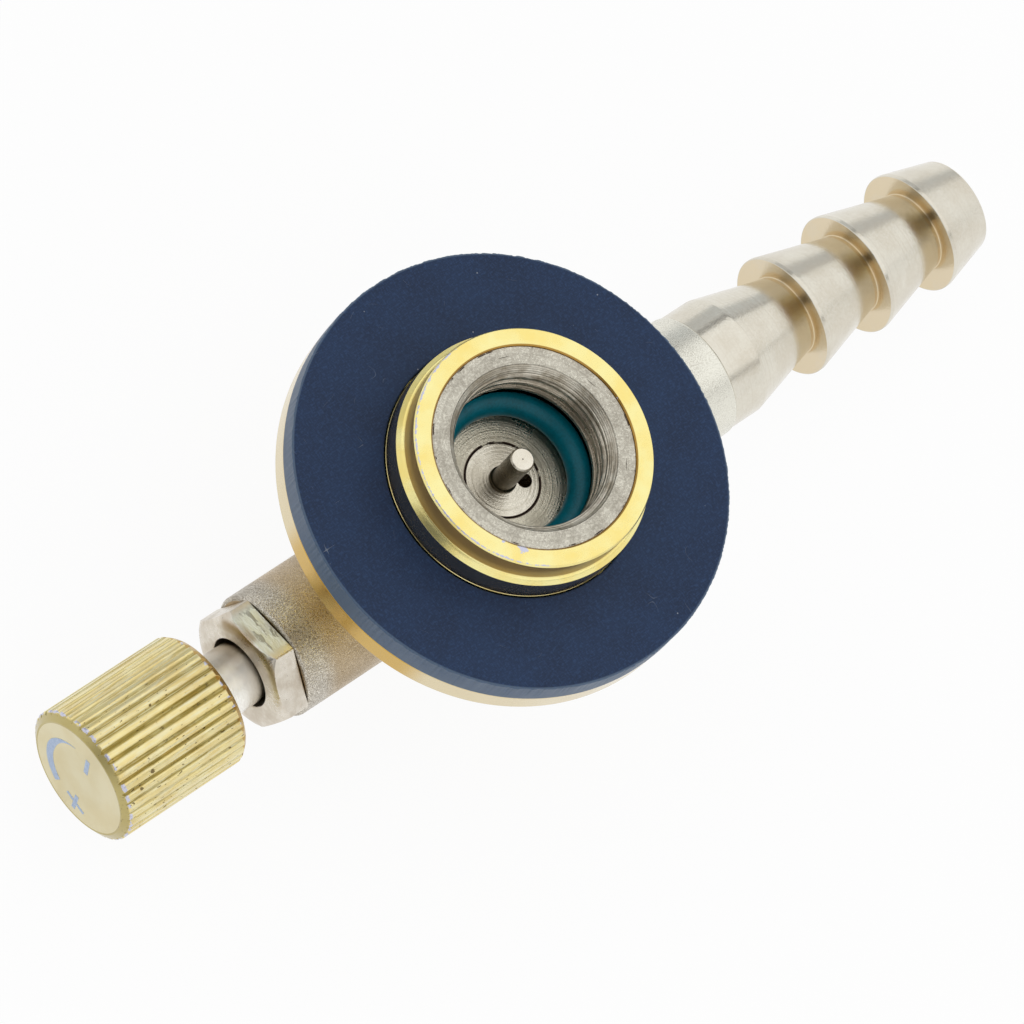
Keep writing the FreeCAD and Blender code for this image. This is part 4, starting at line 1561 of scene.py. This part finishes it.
@dataclass(frozen=True)
class Studio:
    """The pale floor, the lamp, the bright air, the cards in it and the camera."""

    floor_half_m: float = 6.0
    floor_colour: Colour = (0.95, 0.95, 0.95)
    floor_white_share: float = 0.93
    lamp_place_m: Point = (0.6, 0.0, 0.7)
    lamp_side_m: float = 1.4
    lamp_brightness: float = 0.12
    world_grey: float = 0.95
    lens_mm: float = 262.03
    sensor_mm: float = 36.0
    clip_m: Span = (0.01, 50.0)
    target_mm: Point = (-1.913, -2.281, 0.0)
    distance_mm: float = 479.27
    azimuth_deg: float = -79.51
    elevation_deg: float = 61.82
    roll_deg: float = 44.80

    cards = (
        Card("front_card", ((-0.9, -0.29, 0.0), (-0.9, 0.29, 0.0), (-0.9, 0.29, 1.2), (-0.9, -0.29, 1.2)),
             (0.15, 0.15, 0.15)),
        Card("front_card_top", ((-0.9, -0.29, 1.2), (-0.9, 0.29, 1.2), (0.05, 0.16, 1.2), (0.05, -0.16, 1.2)),
             (0.15, 0.15, 0.15)),
        Card("left_wall", ((-0.6, 0.8, 0.0), (1.5, 0.8, 0.0), (1.5, 0.8, 0.43), (-0.6, 0.8, 0.43)),
             (0.62, 0.64, 0.66)),
        Card("left_strip", ((-0.2, 0.8, 0.47), (1.5, 0.8, 0.47), (1.5, 0.74, 0.66), (-0.2, 0.74, 0.66)),
             (0.3, 0.3, 0.3)),
        Card("right_strip", ((-0.2, -0.8, 0.63), (1.5, -0.8, 0.63), (1.5, -0.76, 0.7), (-0.2, -0.76, 0.7)),
             (0.08, 0.08, 0.08)))

    def build(self) -> None:
        """Set the stage, the lamp, the cards, the world and the camera."""
        self.build_floor()
        self.build_lamp()
        for card in self.cards:
            card.hang()
        scene = bpy.context.scene
        scene.world = bpy.data.worlds.new("studio_air")
        scene.world.use_nodes = True
        scene.world.node_tree.nodes["Background"].inputs[0].default_value = (*(self.world_grey,) * 3, 1.0)
        self.build_camera()
        scene.view_settings.view_transform = "Standard"

    def build_floor(self) -> None:
        """A wide plane under the foot. Camera and gloss see it partly as plain white; it keeps the object's shadow."""
        side = np.linspace(-self.floor_half_m, self.floor_half_m, 3)
        grid = np.stack([*np.meshgrid(side, side), np.full((3, 3), VALVE.bottom * MM)], axis=-1)
        mesh = bpy.data.meshes.new("floor")
        cells = [(r * 3 + c, r * 3 + c + 1, r * 3 + c + 4, r * 3 + c + 3) for r in range(2) for c in range(2)]
        mesh.from_pydata(grid.reshape(-1, 3).tolist(), [], cells)
        sheet = NodeSheet("pale_floor", "MixShader")
        path = sheet.add("LightPath")
        seen = sheet.most(path.outputs["Is Camera Ray"], path.outputs["Is Glossy Ray"])
        sheet.feed(sheet.shader, {0: sheet.times(seen, self.floor_white_share),
                                  1: sheet.add("BsdfDiffuse", {"Color": self.floor_colour}).outputs[0],
                                  2: sheet.add("Emission").outputs[0]})
        mesh.materials.append(sheet.material)
        put("floor", mesh)

    def build_lamp(self) -> None:
        """A soft square lamp that shines straight down; its power is brightness * pi * area."""
        data = bpy.data.lights.new("top_softbox", "AREA")
        data.shape = "RECTANGLE"
        data.size = data.size_y = self.lamp_side_m
        data.energy = self.lamp_brightness * math.pi * self.lamp_side_m**2
        put("top_softbox", data).location = self.lamp_place_m

    def build_camera(self) -> None:
        """A long lens from above the knob's side, rolled so that the barrel runs across the picture's diagonal."""
        azimuth, elevation, roll = np.radians([self.azimuth_deg, self.elevation_deg, self.roll_deg])
        back = np.array([np.sin(azimuth) * np.cos(elevation), -np.cos(azimuth) * np.cos(elevation), np.sin(elevation)])
        level = np.cross((0.0, 0.0, 1.0), back)
        level /= np.linalg.norm(level)
        right = np.cos(roll) * level + np.sin(roll) * np.cross(back, level)
        place = (np.array(self.target_mm) + back * self.distance_mm) * MM
        data = bpy.data.cameras.new("camera")
        data.lens, data.sensor_width = self.lens_mm, self.sensor_mm
        data.clip_start, data.clip_end = self.clip_m
        camera = put("camera", data)
        matrix = np.column_stack([right, np.cross(back, right), back, place])
        camera.matrix_world = Matrix([*matrix.tolist(), (0.0, 0.0, 0.0, 1.0)])
        bpy.context.scene.camera = camera


def main() -> None:
    """Build every sub-assembly in order."""
    logging.basicConfig(level=logging.INFO, format="%(message)s")
    for part in (ValveBody, InletFittings, FlangeAndPad, GlandNut, SpindleAndKnob, HoseTail, InnerPieces, Studio):
        part().build()


if __name__ == "__main__":
    main()
